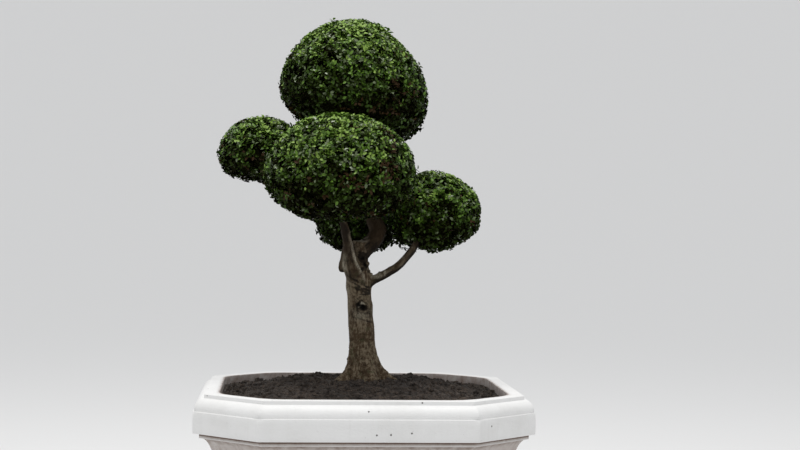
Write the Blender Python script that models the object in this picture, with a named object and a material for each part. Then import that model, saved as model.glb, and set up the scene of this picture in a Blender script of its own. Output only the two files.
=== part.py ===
"""A clipped bonsai tree with five rounded masses of foliage, in an octagonal masonry planter.

Metres, +Z up. The origin is the middle of the planter's flat underside. The tree's best side faces -Y.
Pieces that touch are kept a hair apart, because each one is a solid of its own.
"""

import math
import random
from dataclasses import dataclass

import bmesh
import bpy
import numpy as np
from mathutils import Matrix, Vector

CLEARANCE = 0.0003

# Planter plan: a square with its corners cut off, measured at the fascia of its cap
HALF_WIDTH = 0.70
CORNER_CUT = 0.266
OPENING_HALF_WIDTH = 0.595
CAVITY_HALF_WIDTH = 0.52
OPENING_CORNER_RADIUS = 0.20
CORNER_STEPS = 2

# Planter heights, from the ground up
PLINTH_HEIGHT = 0.105
WAIST_BOTTOM = 0.250
WAIST_TOP = 0.515
COVE_TOP = 0.636
FILLET_TOP = 0.650
FASCIA_TOP = 0.739
ROUND_TOP = 0.797
RIM_TOP = 0.813
FLOOR_THICKNESS = 0.070
SHOULDER_TOP = 0.700
SHOULDER_BOTTOM = 0.600

# How far each band of the planter stands back from the fascia
PLINTH_BACK = 0.012
WAIST_BACK = 0.092
COVE_BACK = 0.046
FILLET_BACK = 0.026
ARRIS_STEP = 0.005
LEDGE_BACK = 0.045

# Soil, mounded gently up to the foot of the trunk
SOIL_EDGE_TOP = 0.775
SOIL_TOP = 0.835
SOIL_PAD_RADIUS = 0.21
SOIL_RINGS = 4

# Trunk and its root flare
TRUNK_SIDES = 22
FLARE_REACH = 0.085
FLARE_HEIGHT = 0.045
FLARE_ROOTS = 5
FLARE_TURN = 0.6
FLARE_SKEW = 0.7
FLARE_BETWEEN_ROOTS = 0.22
FLARE_SHARPNESS = 1.6
FLARE_RINGS = 6

BOUGH_SIDES = 10
RINGS_PER_STATION = 2

# Outline of a mass: rounder above its centre than below, with a few low lumps
POWER_ABOVE = 2.0
POWER_BELOW = 2.3
LUMP_HEIGHT = 0.014
LUMP_WAVES = 4
LUMP_FREQUENCY = 5.5
CORE_DEPTH = 0.032
CORE_DETAIL = 3
SMALL_MASS = 0.25

# Stem and twigs: the stem runs straight past the bough's tip, then forks under the mass's centre
STEM_SIDES = 6
STEM_SHARE = 0.95
STEM_KNEE = 0.06
CROTCH_DROP = 0.35
TWIG_TIP_RADIUS = 0.0022
TWIG_STAND_OUT = 0.008
TWIG_FIRST_REACH = 0.42
TWIG_LONGEST_REACH = 0.7
TWIG_NUDGE = 0.06
TIP_NUDGE = 0.25
LIMB_MARGIN = 0.004

# Leaf: larger than life, because each one stands for a spray
LEAF_LENGTH = 0.092
LEAF_WIDTH = 0.052
LEAF_THICKNESS = 0.003
LEAF_BROADEST = 0.44
LEAVES_PER_TWIG = 3
STEEPEST_LEAF = 56
FLATTEST_LEAF = -14
PITCH_STEP = 6
LEAF_TILT = 0.25
SMALL_MASS_LEAF = 0.82
LEAF_ROOT_DEPTH = 0.012
LEAF_ROOT_ASIDE = 0.012

BARK = (0.19, 0.145, 0.115)
PALE_BARK = (0.26, 0.205, 0.165)
LEAF_GREEN = (0.055, 0.105, 0.025)
DARK_LEAF_GREEN = (0.035, 0.075, 0.020)
PAINTED_MASONRY = (0.72, 0.71, 0.69)
DAMP_SOIL = (0.085, 0.060, 0.045)


@dataclass(frozen=True)
class Limb:
    """A tapering limb: a smooth path through stations of (x, y, z, radius), split at station bend if given."""

    name: str
    stations: tuple
    bend: int = 0


@dataclass(frozen=True)
class Mass:
    """A clipped mass of foliage: a dome on centre that rises and drops by different amounts, rolled about Y."""

    name: str
    centre: tuple
    half_width: float
    half_depth: float
    rise: float
    drop: float
    roll: float
    twigs: int
    carrier: str
    seed: int
    colour: tuple = LEAF_GREEN


# The trunk leans a little left as it rises, thickens under its fork and ends in an old saw cut
TRUNK = Limb(
    "trunk",
    (
        (0.012, 0.000, SOIL_TOP + CLEARANCE, 0.066),
        (0.008, 0.000, 0.950, 0.056),
        (0.001, 0.000, 1.085, 0.0505),
        (-0.0075, 0.000, 1.176, 0.0505),
        (-0.014, 0.000, 1.241, 0.054),
        (-0.014, 0.004, 1.306, 0.046),
        (-0.008, 0.010, 1.355, 0.036),
        (-0.009, 0.011, 1.390, 0.031),
        (-0.019, 0.006, 1.434, 0.024),
    ),
)

BOUGHS = (
    Limb(
        "leader",
        (
            (-0.006, 0.012, 1.362, 0.027),
            (0.020, 0.020, 1.405, 0.034),
            (0.052, 0.031, 1.436, 0.036),
            (0.071, 0.045, 1.478, 0.036),
            (0.054, 0.066, 1.530, 0.034),
            (0.045, 0.080, 1.600, 0.030),
            (0.020, 0.100, 1.740, 0.027),
            (-0.010, 0.118, 1.862, 0.024),
        ),
        bend=3,
    ),
    Limb(
        "front_bough",
        (
            (-0.022, -0.012, 1.235, 0.034),
            (-0.038, -0.024, 1.306, 0.039),
            (-0.0525, -0.040, 1.355, 0.0315),
            (-0.070, -0.084, 1.437, 0.0195),
            (-0.080, -0.115, 1.480, 0.0175),
            (-0.088, -0.134, 1.508, 0.0165),
        ),
    ),
    Limb(
        "right_bough",
        (
            (0.000, 0.000, 1.238, 0.026),
            (0.044, -0.003, 1.261, 0.0185),
            (0.087, -0.010, 1.283, 0.0158),
            (0.122, -0.013, 1.305, 0.0152),
            (0.157, -0.014, 1.329, 0.0148),
            (0.206, -0.006, 1.386, 0.0142),
            (0.224, -0.001, 1.412, 0.0138),
        ),
        bend=4,
    ),
    Limb(
        "left_bough",
        (
            (0.042, 0.083, 1.598, 0.022),
            (-0.020, 0.112, 1.625, 0.0205),
            (-0.120, 0.135, 1.655, 0.0185),
            (-0.250, 0.155, 1.675, 0.016),
            (-0.345, 0.165, 1.699, 0.0145),
        ),
    ),
    Limb(
        "back_bough",
        (
            (-0.008, 0.008, 1.318, 0.021),
            (-0.006, 0.060, 1.330, 0.019),
            (-0.008, 0.140, 1.346, 0.0175),
            (-0.010, 0.220, 1.364, 0.016),
            (-0.011, 0.270, 1.383, 0.0145),
        ),
    ),
    Limb(
        "old_stub",
        (
            (-0.050, 0.004, 1.352, 0.012),
            (-0.078, 0.006, 1.340, 0.0155),
            (-0.087, 0.006, 1.312, 0.0145),
            (-0.088, 0.006, 1.300, 0.009),
        ),
    ),
)

# Which limbs each bough grows out of, so which of them its root is cut clear of
PARENTS = {
    "leader": ("trunk",),
    "front_bough": ("trunk",),
    "right_bough": ("trunk",),
    "left_bough": ("leader",),
    "back_bough": ("trunk",),
    "old_stub": ("trunk", "front_bough"),
}

MASSES = (
    Mass("top_dome", (-0.036, 0.128, 2.092), 0.334, 0.325, 0.327, 0.221, 11.0, 46, "leader", 11),
    Mass("front_dome", (-0.114, -0.212, 1.698), 0.329, 0.270, 0.283, 0.190, -3.0, 40, "front_bough", 23),
    Mass("left_ball", (-0.438, 0.174, 1.809), 0.200, 0.190, 0.174, 0.121, -2.0, 20, "left_bough", 37),
    Mass("right_ball", (0.318, 0.066, 1.578), 0.209, 0.190, 0.169, 0.194, -4.0, 22, "right_bough", 41),
    Mass(
        "back_ball", (-0.012, 0.342, 1.517), 0.187, 0.170, 0.210, 0.141, 0.0, 19, "back_bough", 53,
        DARK_LEAF_GREEN,
    ),
)


def clear_scene():
    """Removes every object, so that only the part is left."""
    for obj in list(bpy.data.objects):
        bpy.data.objects.remove(obj, do_unlink=True)


def material(name, colour, roughness):
    """A Principled material with one colour."""
    made = bpy.data.materials.new(name)
    made.use_nodes = True
    shader = made.node_tree.nodes["Principled BSDF"]
    shader.inputs["Base Color"].default_value = (*colour, 1.0)
    shader.inputs["Roughness"].default_value = roughness
    shader.inputs["Metallic"].default_value = 0.0
    return made


def add_object(name, vertices, faces, surface=None, smooth_below=None):
    """An object at the origin with this mesh, shaded smooth where its faces meet below an angle."""
    mesh = bpy.data.meshes.new(name)
    mesh.from_pydata([tuple(v) for v in vertices], [], [tuple(f) for f in faces])
    mesh.validate()
    if smooth_below is not None:
        mesh.shade_smooth()
        mesh.set_sharp_from_angle(angle=math.radians(smooth_below))
    if surface is not None:
        mesh.materials.append(surface)
    obj = bpy.data.objects.new(name, mesh)
    bpy.context.scene.collection.objects.link(obj)
    return obj


def hide_helper(obj):
    """Marks an object as a cutter, which isn't part of the model."""
    obj.hide_render = True
    obj.display_type = "WIRE"


def cut(obj, cutter):
    """Takes the cutter out of the object with a live Boolean."""
    modifier = obj.modifiers.new(f"clear_of_{cutter.name}", "BOOLEAN")
    modifier.operation = "DIFFERENCE"
    modifier.object = cutter


# Shapes


def loft(rings):
    """A closed surface through rings of equal length, listed upwards and anticlockwise, with flat ends."""
    count = len(rings[0])
    vertices = [point for ring in rings for point in ring]
    faces = [tuple(reversed(range(count)))]
    for level in range(len(rings) - 1):
        low, high = level * count, (level + 1) * count
        for i in range(count):
            j = (i + 1) % count
            faces.append((low + i, low + j, high + j, high + i))
    top = (len(rings) - 1) * count
    faces.append(tuple(range(top, top + count)))
    return vertices, faces


def octagon(half_width, height, corner_radius=0.0):
    """The planter's plan at one height: eight corners in parallel with the fascia's, rounded if asked."""
    inner = half_width - corner_radius
    long_side = (HALF_WIDTH - CORNER_CUT) - (math.sqrt(2) - 1) * (HALF_WIDTH - inner)
    points = []
    for corner in range(8):
        start = math.radians(45 * corner)
        quarter, odd = divmod(corner, 2)
        x, y = (long_side, inner) if odd else (inner, long_side)
        turn = math.radians(90 * quarter)
        cx = x * math.cos(turn) - y * math.sin(turn)
        cy = x * math.sin(turn) + y * math.cos(turn)
        if not corner_radius:
            points.append((cx, cy, height))
            continue
        for step in range(CORNER_STEPS + 1):
            angle = start + math.radians(45) * step / CORNER_STEPS
            x = cx + corner_radius * math.cos(angle)
            y = cy + corner_radius * math.sin(angle)
            points.append((x, y, height))
    return points


def quarter_round(start, end, steps):
    """A convex quarter ellipse of (setback, height), upright at its start and level at its end."""
    angles = [math.radians(90) * i / steps for i in range(steps + 1)]
    return [
        (end[0] - (end[0] - start[0]) * math.cos(a), start[1] + (end[1] - start[1]) * math.sin(a))
        for a in angles
    ]


def cove(start, end, steps):
    """A shallow concave sweep of (setback, height), upright at its start and flaring towards its end."""
    shares = [i / steps for i in range(steps + 1)]
    return [(start[0] + (end[0] - start[0]) * u * u, start[1] + (end[1] - start[1]) * u) for u in shares]


def planter_profile():
    """The planter's outer side as (setback, height), from its plinth up to its rim."""
    plinth_round_top = PLINTH_HEIGHT + (ROUND_TOP - FASCIA_TOP)
    plinth_fillet_top = plinth_round_top + (FILLET_TOP - COVE_TOP)
    side = [(PLINTH_BACK, 0.0), (PLINTH_BACK, PLINTH_HEIGHT)]
    side += quarter_round(
        (PLINTH_BACK + ARRIS_STEP, PLINTH_HEIGHT), (PLINTH_BACK + LEDGE_BACK, plinth_round_top), 5
    )
    side += [(PLINTH_BACK + LEDGE_BACK, plinth_fillet_top)]
    foot = (PLINTH_BACK + LEDGE_BACK + 0.010, plinth_fillet_top)
    side += reversed(cove((WAIST_BACK, WAIST_BOTTOM), foot, 3))
    side += cove((WAIST_BACK, WAIST_TOP), (COVE_BACK, COVE_TOP), 5)
    side += [(FILLET_BACK, COVE_TOP), (FILLET_BACK, FILLET_TOP), (0.0, FILLET_TOP), (0.0, FASCIA_TOP)]
    side += [(ARRIS_STEP, FASCIA_TOP)]
    side += quarter_round((ARRIS_STEP, FASCIA_TOP + ARRIS_STEP), (LEDGE_BACK, ROUND_TOP), 6)
    side += [(LEDGE_BACK, RIM_TOP)]
    return side


def cavity_rings(bottom, top, inset=0.0):
    """Rounded rings of the planter's inside from bottom to top, which narrows below a shoulder."""
    levels = (
        (CAVITY_HALF_WIDTH, bottom),
        (CAVITY_HALF_WIDTH, SHOULDER_BOTTOM),
        (OPENING_HALF_WIDTH, SHOULDER_TOP),
        (OPENING_HALF_WIDTH, top),
    )
    return [octagon(width - inset, height, OPENING_CORNER_RADIUS) for width, height in levels]


def make_planter(surface):
    """The planter: its moulded outer side lofted, and its inside cut out."""
    rings = [octagon(HALF_WIDTH - setback, height) for setback, height in planter_profile()]
    planter = add_object("planter", *loft(rings), surface, smooth_below=25)
    above_rim = RIM_TOP + 0.05
    cavity = add_object("planter_cavity", *loft(cavity_rings(FLOOR_THICKNESS, above_rim)))
    hide_helper(cavity)
    cut(planter, cavity)


def soil_height(share):
    """The soil's height at a share of the way from the trunk's pad out to the planter's wall."""
    return SOIL_EDGE_TOP + (SOIL_TOP - SOIL_EDGE_TOP) * (0.5 + 0.5 * math.cos(math.pi * share))


def make_soil(surface):
    """The soil: it fills the planter's inside and is level under the trunk's foot."""
    rings = cavity_rings(FLOOR_THICKNESS + CLEARANCE, SOIL_EDGE_TOP, inset=CLEARANCE)
    edge = np.array(rings[-1])[:, :2]
    pad = edge / np.linalg.norm(edge, axis=1)[:, None] * SOIL_PAD_RADIUS
    for step in range(1, SOIL_RINGS + 1):
        share = 1 - step / SOIL_RINGS
        ring = pad + (edge - pad) * share
        rings.append([(x, y, soil_height(share)) for x, y in ring])
    add_object("soil", *loft(rings), surface, smooth_below=40)


def path_through(stations, steps):
    """Catmull-Rom points and radii through the stations, with so many steps between each two."""
    known = np.array(stations)
    padded = np.vstack([2 * known[0] - known[1], known, 2 * known[-1] - known[-2]])
    rows = []
    for i in range(len(known) - 1):
        a, b, c, d = padded[i : i + 4]
        for t in np.arange(steps) / steps:
            square, cube = 2 * a - 5 * b + 4 * c - d, 3 * b - a - 3 * c + d
            rows.append(0.5 * (2 * b + (c - a) * t + square * t**2 + cube * t**3))
    rows.append(known[-1])
    return np.array(rows)


def tube_rings(rows, sides, level=False, swell=None):
    """Rings of a tube along rows of (x, y, z, radius), square to the path, or level ones."""
    centres, radii = rows[:, :3], rows[:, 3]
    tangents = np.gradient(centres, axis=0)
    side = Vector((1, 0, 0)) if abs(tangents[0][2]) > np.linalg.norm(tangents[0]) / 2 else Vector((0, 0, 1))
    rings = []
    for centre, radius, tangent in zip(centres, radii, tangents):
        along = Vector((0, 0, 1)) if level else Vector(tangent).normalized()
        side = (side - along * side.dot(along)).normalized()
        across = along.cross(side)
        ring = []
        for k in range(sides):
            angle = 2 * math.pi * k / sides
            reach = radius + (swell(centre[2], angle) if swell else 0.0)
            ring.append(Vector(centre) + (side * math.cos(angle) + across * math.sin(angle)) * reach)
        rings.append(ring)
    return rings


def root_flare(height, angle):
    """How far the trunk's foot spreads into surface roots at this height and angle."""
    rise = (height - SOIL_TOP) / FLARE_HEIGHT
    root = 0.5 + 0.5 * math.cos(FLARE_ROOTS * angle + FLARE_TURN + FLARE_SKEW * math.sin(angle))
    spread = FLARE_BETWEEN_ROOTS + (1 - FLARE_BETWEEN_ROOTS) * root**FLARE_SHARPNESS
    return FLARE_REACH * math.exp(-rise) * spread


def trunk_rows():
    """The trunk's path, with closer rings in the root flare."""
    near_foot = path_through(TRUNK.stations, FLARE_RINGS)[:FLARE_RINGS]
    return np.vstack([near_foot, path_through(TRUNK.stations, RINGS_PER_STATION)[RINGS_PER_STATION:]])


def grown(rows):
    """The same limb a hair thicker and longer, to cut its neighbours clear of it."""
    wider = rows.copy()
    wider[:, 3] += CLEARANCE
    return wider


def limb_parts(limb):
    """The rings of each piece of a limb: one piece, or two with a hair between them at its bend."""
    rows = path_through(limb.stations, RINGS_PER_STATION)
    rings = tube_rings(rows, BOUGH_SIDES)
    if not limb.bend:
        return {limb.name: rings}
    at = limb.bend * RINGS_PER_STATION
    gap = Vector(rows[at + 1, :3] - rows[at - 1, :3]).normalized() * CLEARANCE
    start = [point + gap for point in rings[at]]
    return {f"{limb.name}_lower": rings[: at + 1], f"{limb.name}_upper": [start, *rings[at + 1 :]]}


def make_limbs(surface, pale_surface):
    """The trunk and the boughs, each bough's root cut clear of the limb that it grows from."""
    foot = trunk_rows()
    add_object("trunk", *loft(tube_rings(foot, TRUNK_SIDES, True, root_flare)), surface, smooth_below=50)
    clearances = {"trunk": tube_rings(grown(foot), TRUNK_SIDES, True, root_flare)}
    for limb in BOUGHS:
        clearances[limb.name] = tube_rings(grown(path_through(limb.stations, RINGS_PER_STATION)), BOUGH_SIDES)
    cutters = {}
    for parent in sorted({name for names in PARENTS.values() for name in names}):
        cutters[parent] = add_object(f"{parent}_clearance", *loft(clearances[parent]))
        hide_helper(cutters[parent])
    for limb in BOUGHS:
        for position, (name, rings) in enumerate(limb_parts(limb).items()):
            skin = pale_surface if limb.name == "front_bough" else surface
            bough = add_object(name, *loft(rings), skin, smooth_below=50)
            if position == 0:
                for parent in PARENTS[limb.name]:
                    cut(bough, cutters[parent])


# Foliage


class Space:
    """The space that one mass keeps to: a dome that may be rolled, with a few low lumps."""

    def __init__(self, mass):
        """Works out the mass's turn and the phases of its lumps."""
        self.mass = mass
        self.turn = np.array(Matrix.Rotation(math.radians(mass.roll), 3, "Y"))
        self.centre = np.array(mass.centre)
        phases = random.Random(mass.seed)
        self.waves = []
        for _ in range(LUMP_WAVES):
            way = np.array([phases.uniform(-1, 1) for _ in range(3)])
            self.waves.append((way * LUMP_FREQUENCY, phases.uniform(0, 2 * math.pi)))

    def reach(self, direction):
        """How far the outline is from the centre along a unit direction."""
        x, y, z = self.turn.T @ direction
        upright = self.mass.rise if z > 0 else self.mass.drop
        power = POWER_ABOVE if z > 0 else POWER_BELOW
        level = math.hypot(x / self.mass.half_width, y / self.mass.half_depth)
        smooth = (level**power + abs(z / upright) ** power) ** (-1 / power)
        lumps = sum(math.sin(wave @ direction + phase) for wave, phase in self.waves) / LUMP_WAVES
        return smooth * (1 - LUMP_HEIGHT + LUMP_HEIGHT * lumps)

    def share(self, point):
        """How far out a point is: 0 at the centre and 1 on the outline."""
        away = np.asarray(point) - self.centre
        length = np.linalg.norm(away)
        return length / self.reach(away / length) if length else 0.0

    def skin(self, direction, depth):
        """The point that is so deep under the outline along a direction."""
        return self.centre + direction * (self.reach(direction) - depth)

    def normal(self, direction):
        """The outline's outward normal along a direction, from two short steps beside it."""
        first = np.cross(direction, (0.3, 0.5, 0.8))
        first /= np.linalg.norm(first)
        second = np.cross(direction, first)
        step = 0.02
        here = self.skin(direction, 0.0)
        ends = []
        for aside in (first, second):
            beside = direction + aside * step
            ends.append(self.skin(beside / np.linalg.norm(beside), 0.0) - here)
        out = np.cross(*ends)
        out /= np.linalg.norm(out)
        return out if out @ direction > 0 else -out


def even_directions(count, rng):
    """Directions spread evenly over a sphere by the golden angle, each nudged a little."""
    golden = math.pi * (3 - math.sqrt(5))
    found = []
    for i in range(count):
        height = 1 - 2 * (i + 0.5) / count
        around = golden * i
        flat = math.sqrt(1 - height * height)
        way = np.array([flat * math.cos(around), flat * math.sin(around), height])
        way += np.array([rng.uniform(-1, 1) for _ in range(3)]) * TIP_NUDGE / math.sqrt(count)
        found.append(way / np.linalg.norm(way))
    return found


def branch(start, targets, reach, rng):
    """Twigs from one start to all the targets: the targets are halved again and again, and each half
    gets a twig part of the way to its middle, from which its own halves grow."""
    if len(targets) == 1:
        return [(start, targets[0], 1)]
    points = np.array(targets)
    middle = points.mean(axis=0)
    widest = np.linalg.svd(points - middle)[2][0]
    order = sorted(range(len(points)), key=lambda i: points[i] @ widest)
    half = len(order) // 2
    twigs = []
    for group in (order[:half], order[half:]):
        chosen = [targets[i] for i in group]
        if len(chosen) == 1:
            twigs.append((start, chosen[0], 1))
            continue
        aim = np.mean(chosen, axis=0)
        nudge = np.array([rng.uniform(-1, 1) for _ in range(3)]) * TWIG_NUDGE * np.linalg.norm(aim - start)
        fork = start + (aim - start) * reach + nudge
        twigs.append((start, fork, len(chosen)))
        twigs += branch(fork, chosen, min(TWIG_LONGEST_REACH, reach + 0.05), rng)
    return twigs


def twig_shape(start, end, thick, thin, spin, sides=3):
    """A straight tapering twig whose root is sunk a little past its start."""
    along = Vector(end - start).normalized()
    side = along.orthogonal().normalized()
    side.rotate(Matrix.Rotation(spin, 3, along))
    across = along.cross(side)
    rings = []
    for centre, radius in ((Vector(start) - along * thick, thick), (Vector(end), thin)):
        turns = [2 * math.pi * k / sides for k in range(sides)]
        rings.append([centre + (side * math.cos(a) + across * math.sin(a)) * radius for a in turns])
    return loft(rings)


def leaf_shape(root, along, face, size):
    """A pointed leaf of eight faces, thickest a little before its middle."""
    along, face = Vector(along).normalized(), Vector(face)
    face = (face - along * face.dot(along)).normalized()
    across = face.cross(along)
    broad = Vector(root) + along * LEAF_LENGTH * size * LEAF_BROADEST
    wide, thick = across * LEAF_WIDTH * size / 2, face * LEAF_THICKNESS / 2
    tip = Vector(root) + along * LEAF_LENGTH * size
    vertices = [Vector(root), broad + wide, tip, broad - wide, broad + thick, broad - thick]
    faces = [(4, 1, 0), (4, 2, 1), (4, 3, 2), (4, 0, 3), (5, 0, 1), (5, 1, 2), (5, 2, 3), (5, 3, 0)]
    return vertices, faces


def clear_of_limbs(points, limb_rows):
    """Whether every point is a safe distance from every limb's skin."""
    for point in points:
        gaps = np.linalg.norm(limb_rows[:, :3] - np.array(point), axis=1) - limb_rows[:, 3]
        if gaps.min() < LIMB_MARGIN:
            return False
    return True


def core_shape(space):
    """The mass's smaller core: a fine ball whose points lie a set depth under the outline."""
    detail = CORE_DETAIL - 1 if space.mass.half_width < SMALL_MASS else CORE_DETAIL
    ball = bmesh.new()
    bmesh.ops.create_icosphere(ball, subdivisions=detail, radius=1.0)
    points = [space.skin(np.array(v.co.normalized()), CORE_DEPTH) for v in ball.verts]
    faces = [[v.index for v in f.verts] for f in ball.faces]
    ball.free()
    return points, faces


def leaves_on(tip, out, space, limb_rows, rng):
    """The leaves round one twig's tip, each raised until it nearly reaches the outline."""
    first = np.cross(out, (0.2, 0.9, 0.4))
    first /= np.linalg.norm(first)
    second = np.cross(out, first)
    start = rng.uniform(0, 2 * math.pi)
    made = []
    for i in range(LEAVES_PER_TWIG):
        around = start + 2 * math.pi * (i + rng.uniform(-0.18, 0.18)) / LEAVES_PER_TWIG
        aside = first * math.cos(around) + second * math.sin(around)
        size = rng.uniform(0.86, 1.1) * (SMALL_MASS_LEAF if space.mass.half_width < SMALL_MASS else 1.0)
        limit = rng.uniform(0.97, 1.0)
        face = out + (first * rng.uniform(-1, 1) + second * rng.uniform(-1, 1)) * LEAF_TILT
        for pitch in range(STEEPEST_LEAF, FLATTEST_LEAF, -PITCH_STEP):
            slope = math.radians(pitch)
            along = aside * math.cos(slope) + out * math.sin(slope)
            shape = leaf_shape(tip - out * LEAF_ROOT_DEPTH + aside * LEAF_ROOT_ASIDE, along, face, size)
            if max(space.share(p) for p in shape[0]) <= limit:
                if clear_of_limbs(shape[0], limb_rows):
                    made.append(shape)
                break
    return made


def foliage_shapes(mass, space, carrier_tip, limb_rows):
    """The stem, twigs and leaves of one mass, as closed shapes that overlap where they join."""
    rng = random.Random(mass.seed)
    foot, along, radius = carrier_tip
    foot = foot + along * CLEARANCE
    crotch = space.centre - np.array([0, 0, CROTCH_DROP * mass.drop])
    knee = foot + along * STEM_KNEE
    stem = np.array([[*foot, radius], [*knee, radius * 0.85], [*crotch, radius * 0.6]])
    shapes = [loft(tube_rings(stem, STEM_SIDES))]
    targets, outs = [], []
    for way in even_directions(mass.twigs, rng):
        out = space.normal(way)
        targets.append(space.skin(way, CORE_DEPTH) + out * TWIG_STAND_OUT)
        outs.append(out)
    for start, end, load in branch(crotch, targets, TWIG_FIRST_REACH, rng):
        if clear_of_limbs([end], limb_rows):
            thick = TWIG_TIP_RADIUS * math.sqrt(load + 0.6)
            shapes.append(twig_shape(start, end, thick, thick * 0.75, rng.uniform(0, 2)))
    for tip, out in zip(targets, outs):
        if clear_of_limbs([tip], limb_rows):
            shapes += leaves_on(tip - out * TWIG_STAND_OUT, out, space, limb_rows, rng)
    return shapes


def keep_outer_shell(mesh):
    """Drops loose scraps and the walls of sealed hollows, keeping the largest connected shell."""
    shell = bmesh.new()
    shell.from_mesh(mesh)
    unseen = set(shell.verts)
    islands = []
    while unseen:
        queue = [unseen.pop()]
        island = list(queue)
        while queue:
            for edge in queue.pop().link_edges:
                for vertex in edge.verts:
                    if vertex in unseen:
                        unseen.remove(vertex)
                        queue.append(vertex)
                        island.append(vertex)
        islands.append(island)
    islands.sort(key=len)
    bmesh.ops.delete(shell, geom=[v for island in islands[:-1] for v in island], context="VERTS")
    shell.to_mesh(mesh)
    shell.free()


def fuse(body, shapes):
    """Joins the shapes to the body by one Boolean union, and removes the shapes' own objects."""
    group = bpy.data.collections.new(f"{body.name}_shapes")
    bpy.context.scene.collection.children.link(group)
    for number, (vertices, faces) in enumerate(shapes):
        piece = add_object(f"{body.name}_shape_{number}", vertices, faces)
        bpy.context.scene.collection.objects.unlink(piece)
        group.objects.link(piece)
    union = body.modifiers.new("join", "BOOLEAN")
    union.operation = "UNION"
    union.operand_type = "COLLECTION"
    union.collection = group
    union.solver = "MANIFOLD"
    graph = bpy.context.evaluated_depsgraph_get()
    joined = bpy.data.meshes.new_from_object(body.evaluated_get(graph))
    body.modifiers.remove(union)
    body.data = joined
    for piece in list(group.objects):
        bpy.data.objects.remove(piece, do_unlink=True)
    bpy.data.collections.remove(group)
    keep_outer_shell(joined)


def make_foliage():
    """The five masses, each one solid with its stem on the tip of the bough that carries it."""
    rows = {limb.name: path_through(limb.stations, RINGS_PER_STATION) for limb in BOUGHS}
    limb_rows = np.vstack([path_through(limb.stations, 12) for limb in (TRUNK, *BOUGHS)])
    for mass in MASSES:
        path = rows[mass.carrier]
        end, along, radius = path[-1, :3], path[-1, :3] - path[-2, :3], path[-1, 3] * STEM_SHARE
        space = Space(mass)
        surface = material(f"{mass.name}_leaves", mass.colour, 0.45)
        body = add_object(mass.name, *core_shape(space), surface)
        others = limb_rows[np.linalg.norm(limb_rows[:, :3] - end, axis=1) > radius * 1.5]
        fuse(body, foliage_shapes(mass, space, (end, along / np.linalg.norm(along), radius), others))


def main():
    """Builds the planter, the soil, the tree's limbs and its foliage."""
    clear_scene()
    make_planter(material("painted_masonry", PAINTED_MASONRY, 0.6))
    make_soil(material("damp_soil", DAMP_SOIL, 0.95))
    make_limbs(material("bark", BARK, 0.9), material("pale_bark", PALE_BARK, 0.85))
    make_foliage()


main()
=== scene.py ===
"""The looks of a clipped bonsai tree in its painted masonry planter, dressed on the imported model.

Metres, +Z up. The origin is the middle of the planter's flat underside, and the tree's best side faces -Y.
The planter, the soil, the tree's wood and its five masses of leaves each replace their plain solids.
"""

import sys
import logging
import math
import random
from dataclasses import dataclass, field
from enum import Enum
from typing import Any, Iterable, Iterator, Optional, Sequence, Union

import bpy
import numpy as np
from mathutils import Matrix, Vector


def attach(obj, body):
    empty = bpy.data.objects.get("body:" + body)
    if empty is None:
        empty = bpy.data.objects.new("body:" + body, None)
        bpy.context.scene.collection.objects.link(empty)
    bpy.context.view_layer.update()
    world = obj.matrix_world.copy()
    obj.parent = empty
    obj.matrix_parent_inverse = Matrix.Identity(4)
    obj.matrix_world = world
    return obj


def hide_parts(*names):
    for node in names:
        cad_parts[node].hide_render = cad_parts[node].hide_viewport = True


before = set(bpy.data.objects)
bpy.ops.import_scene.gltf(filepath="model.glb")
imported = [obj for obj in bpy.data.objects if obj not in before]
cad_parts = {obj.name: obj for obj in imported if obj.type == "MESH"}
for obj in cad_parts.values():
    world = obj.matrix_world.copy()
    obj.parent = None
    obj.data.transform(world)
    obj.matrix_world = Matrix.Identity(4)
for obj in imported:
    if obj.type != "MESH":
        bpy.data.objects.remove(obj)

Array = np.ndarray
Rng = np.random.Generator
Piece = bpy.types.Object
Material = bpy.types.Material
Colour = tuple[float, float, float]

BODY = "root"
GOLDEN_TURN = math.pi * (3 - math.sqrt(5))
EIGHTH_TURN = math.radians(45)
BATCH = 20000
UP = np.array([0.0, 0.0, 1.0])

log = logging.getLogger("bonsai")


# Shader wiring


class Wire:
    """A shader socket in a Python expression: the operators on wires and numbers add Math nodes."""

    def __init__(self, sheet: "NodeSheet", socket: bpy.types.NodeSocket) -> None:
        """Keeps the socket and the sheet whose tree it is in."""
        self.sheet = sheet
        self.socket = socket

    def _maths(self, operation: str, first: "Value", second: "Value") -> "Wire":
        """A Math node with these two values."""
        return self.sheet.wire("ShaderNodeMath", {"operation": operation}, {0: first, 1: second})

    def __add__(self, other: "Value") -> "Wire":
        """self + other, which other + self is too"""
        return self._maths("ADD", self, other)

    def __sub__(self, other: "Value") -> "Wire":
        """self - other"""
        return self._maths("SUBTRACT", self, other)

    def __rsub__(self, other: "Value") -> "Wire":
        """other - self"""
        return self._maths("SUBTRACT", other, self)

    def __mul__(self, other: "Value") -> "Wire":
        """self * other, which other * self is too"""
        return self._maths("MULTIPLY", self, other)

    __radd__, __rmul__ = __add__, __mul__

    def at_least(self, other: "Value") -> "Wire":
        """The larger of this and other."""
        return self._maths("MAXIMUM", self, other)

    def rising(self, low: float, high: float) -> "Wire":
        """0 below low and 1 above high, with a smooth step between them. It falls if high is under low."""
        sockets = {"Value": self, "From Min": low, "From Max": high}
        return self.sheet.wire("ShaderNodeMapRange", {"interpolation_type": "SMOOTHSTEP"}, sockets)


Value = Union[Wire, float]


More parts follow.
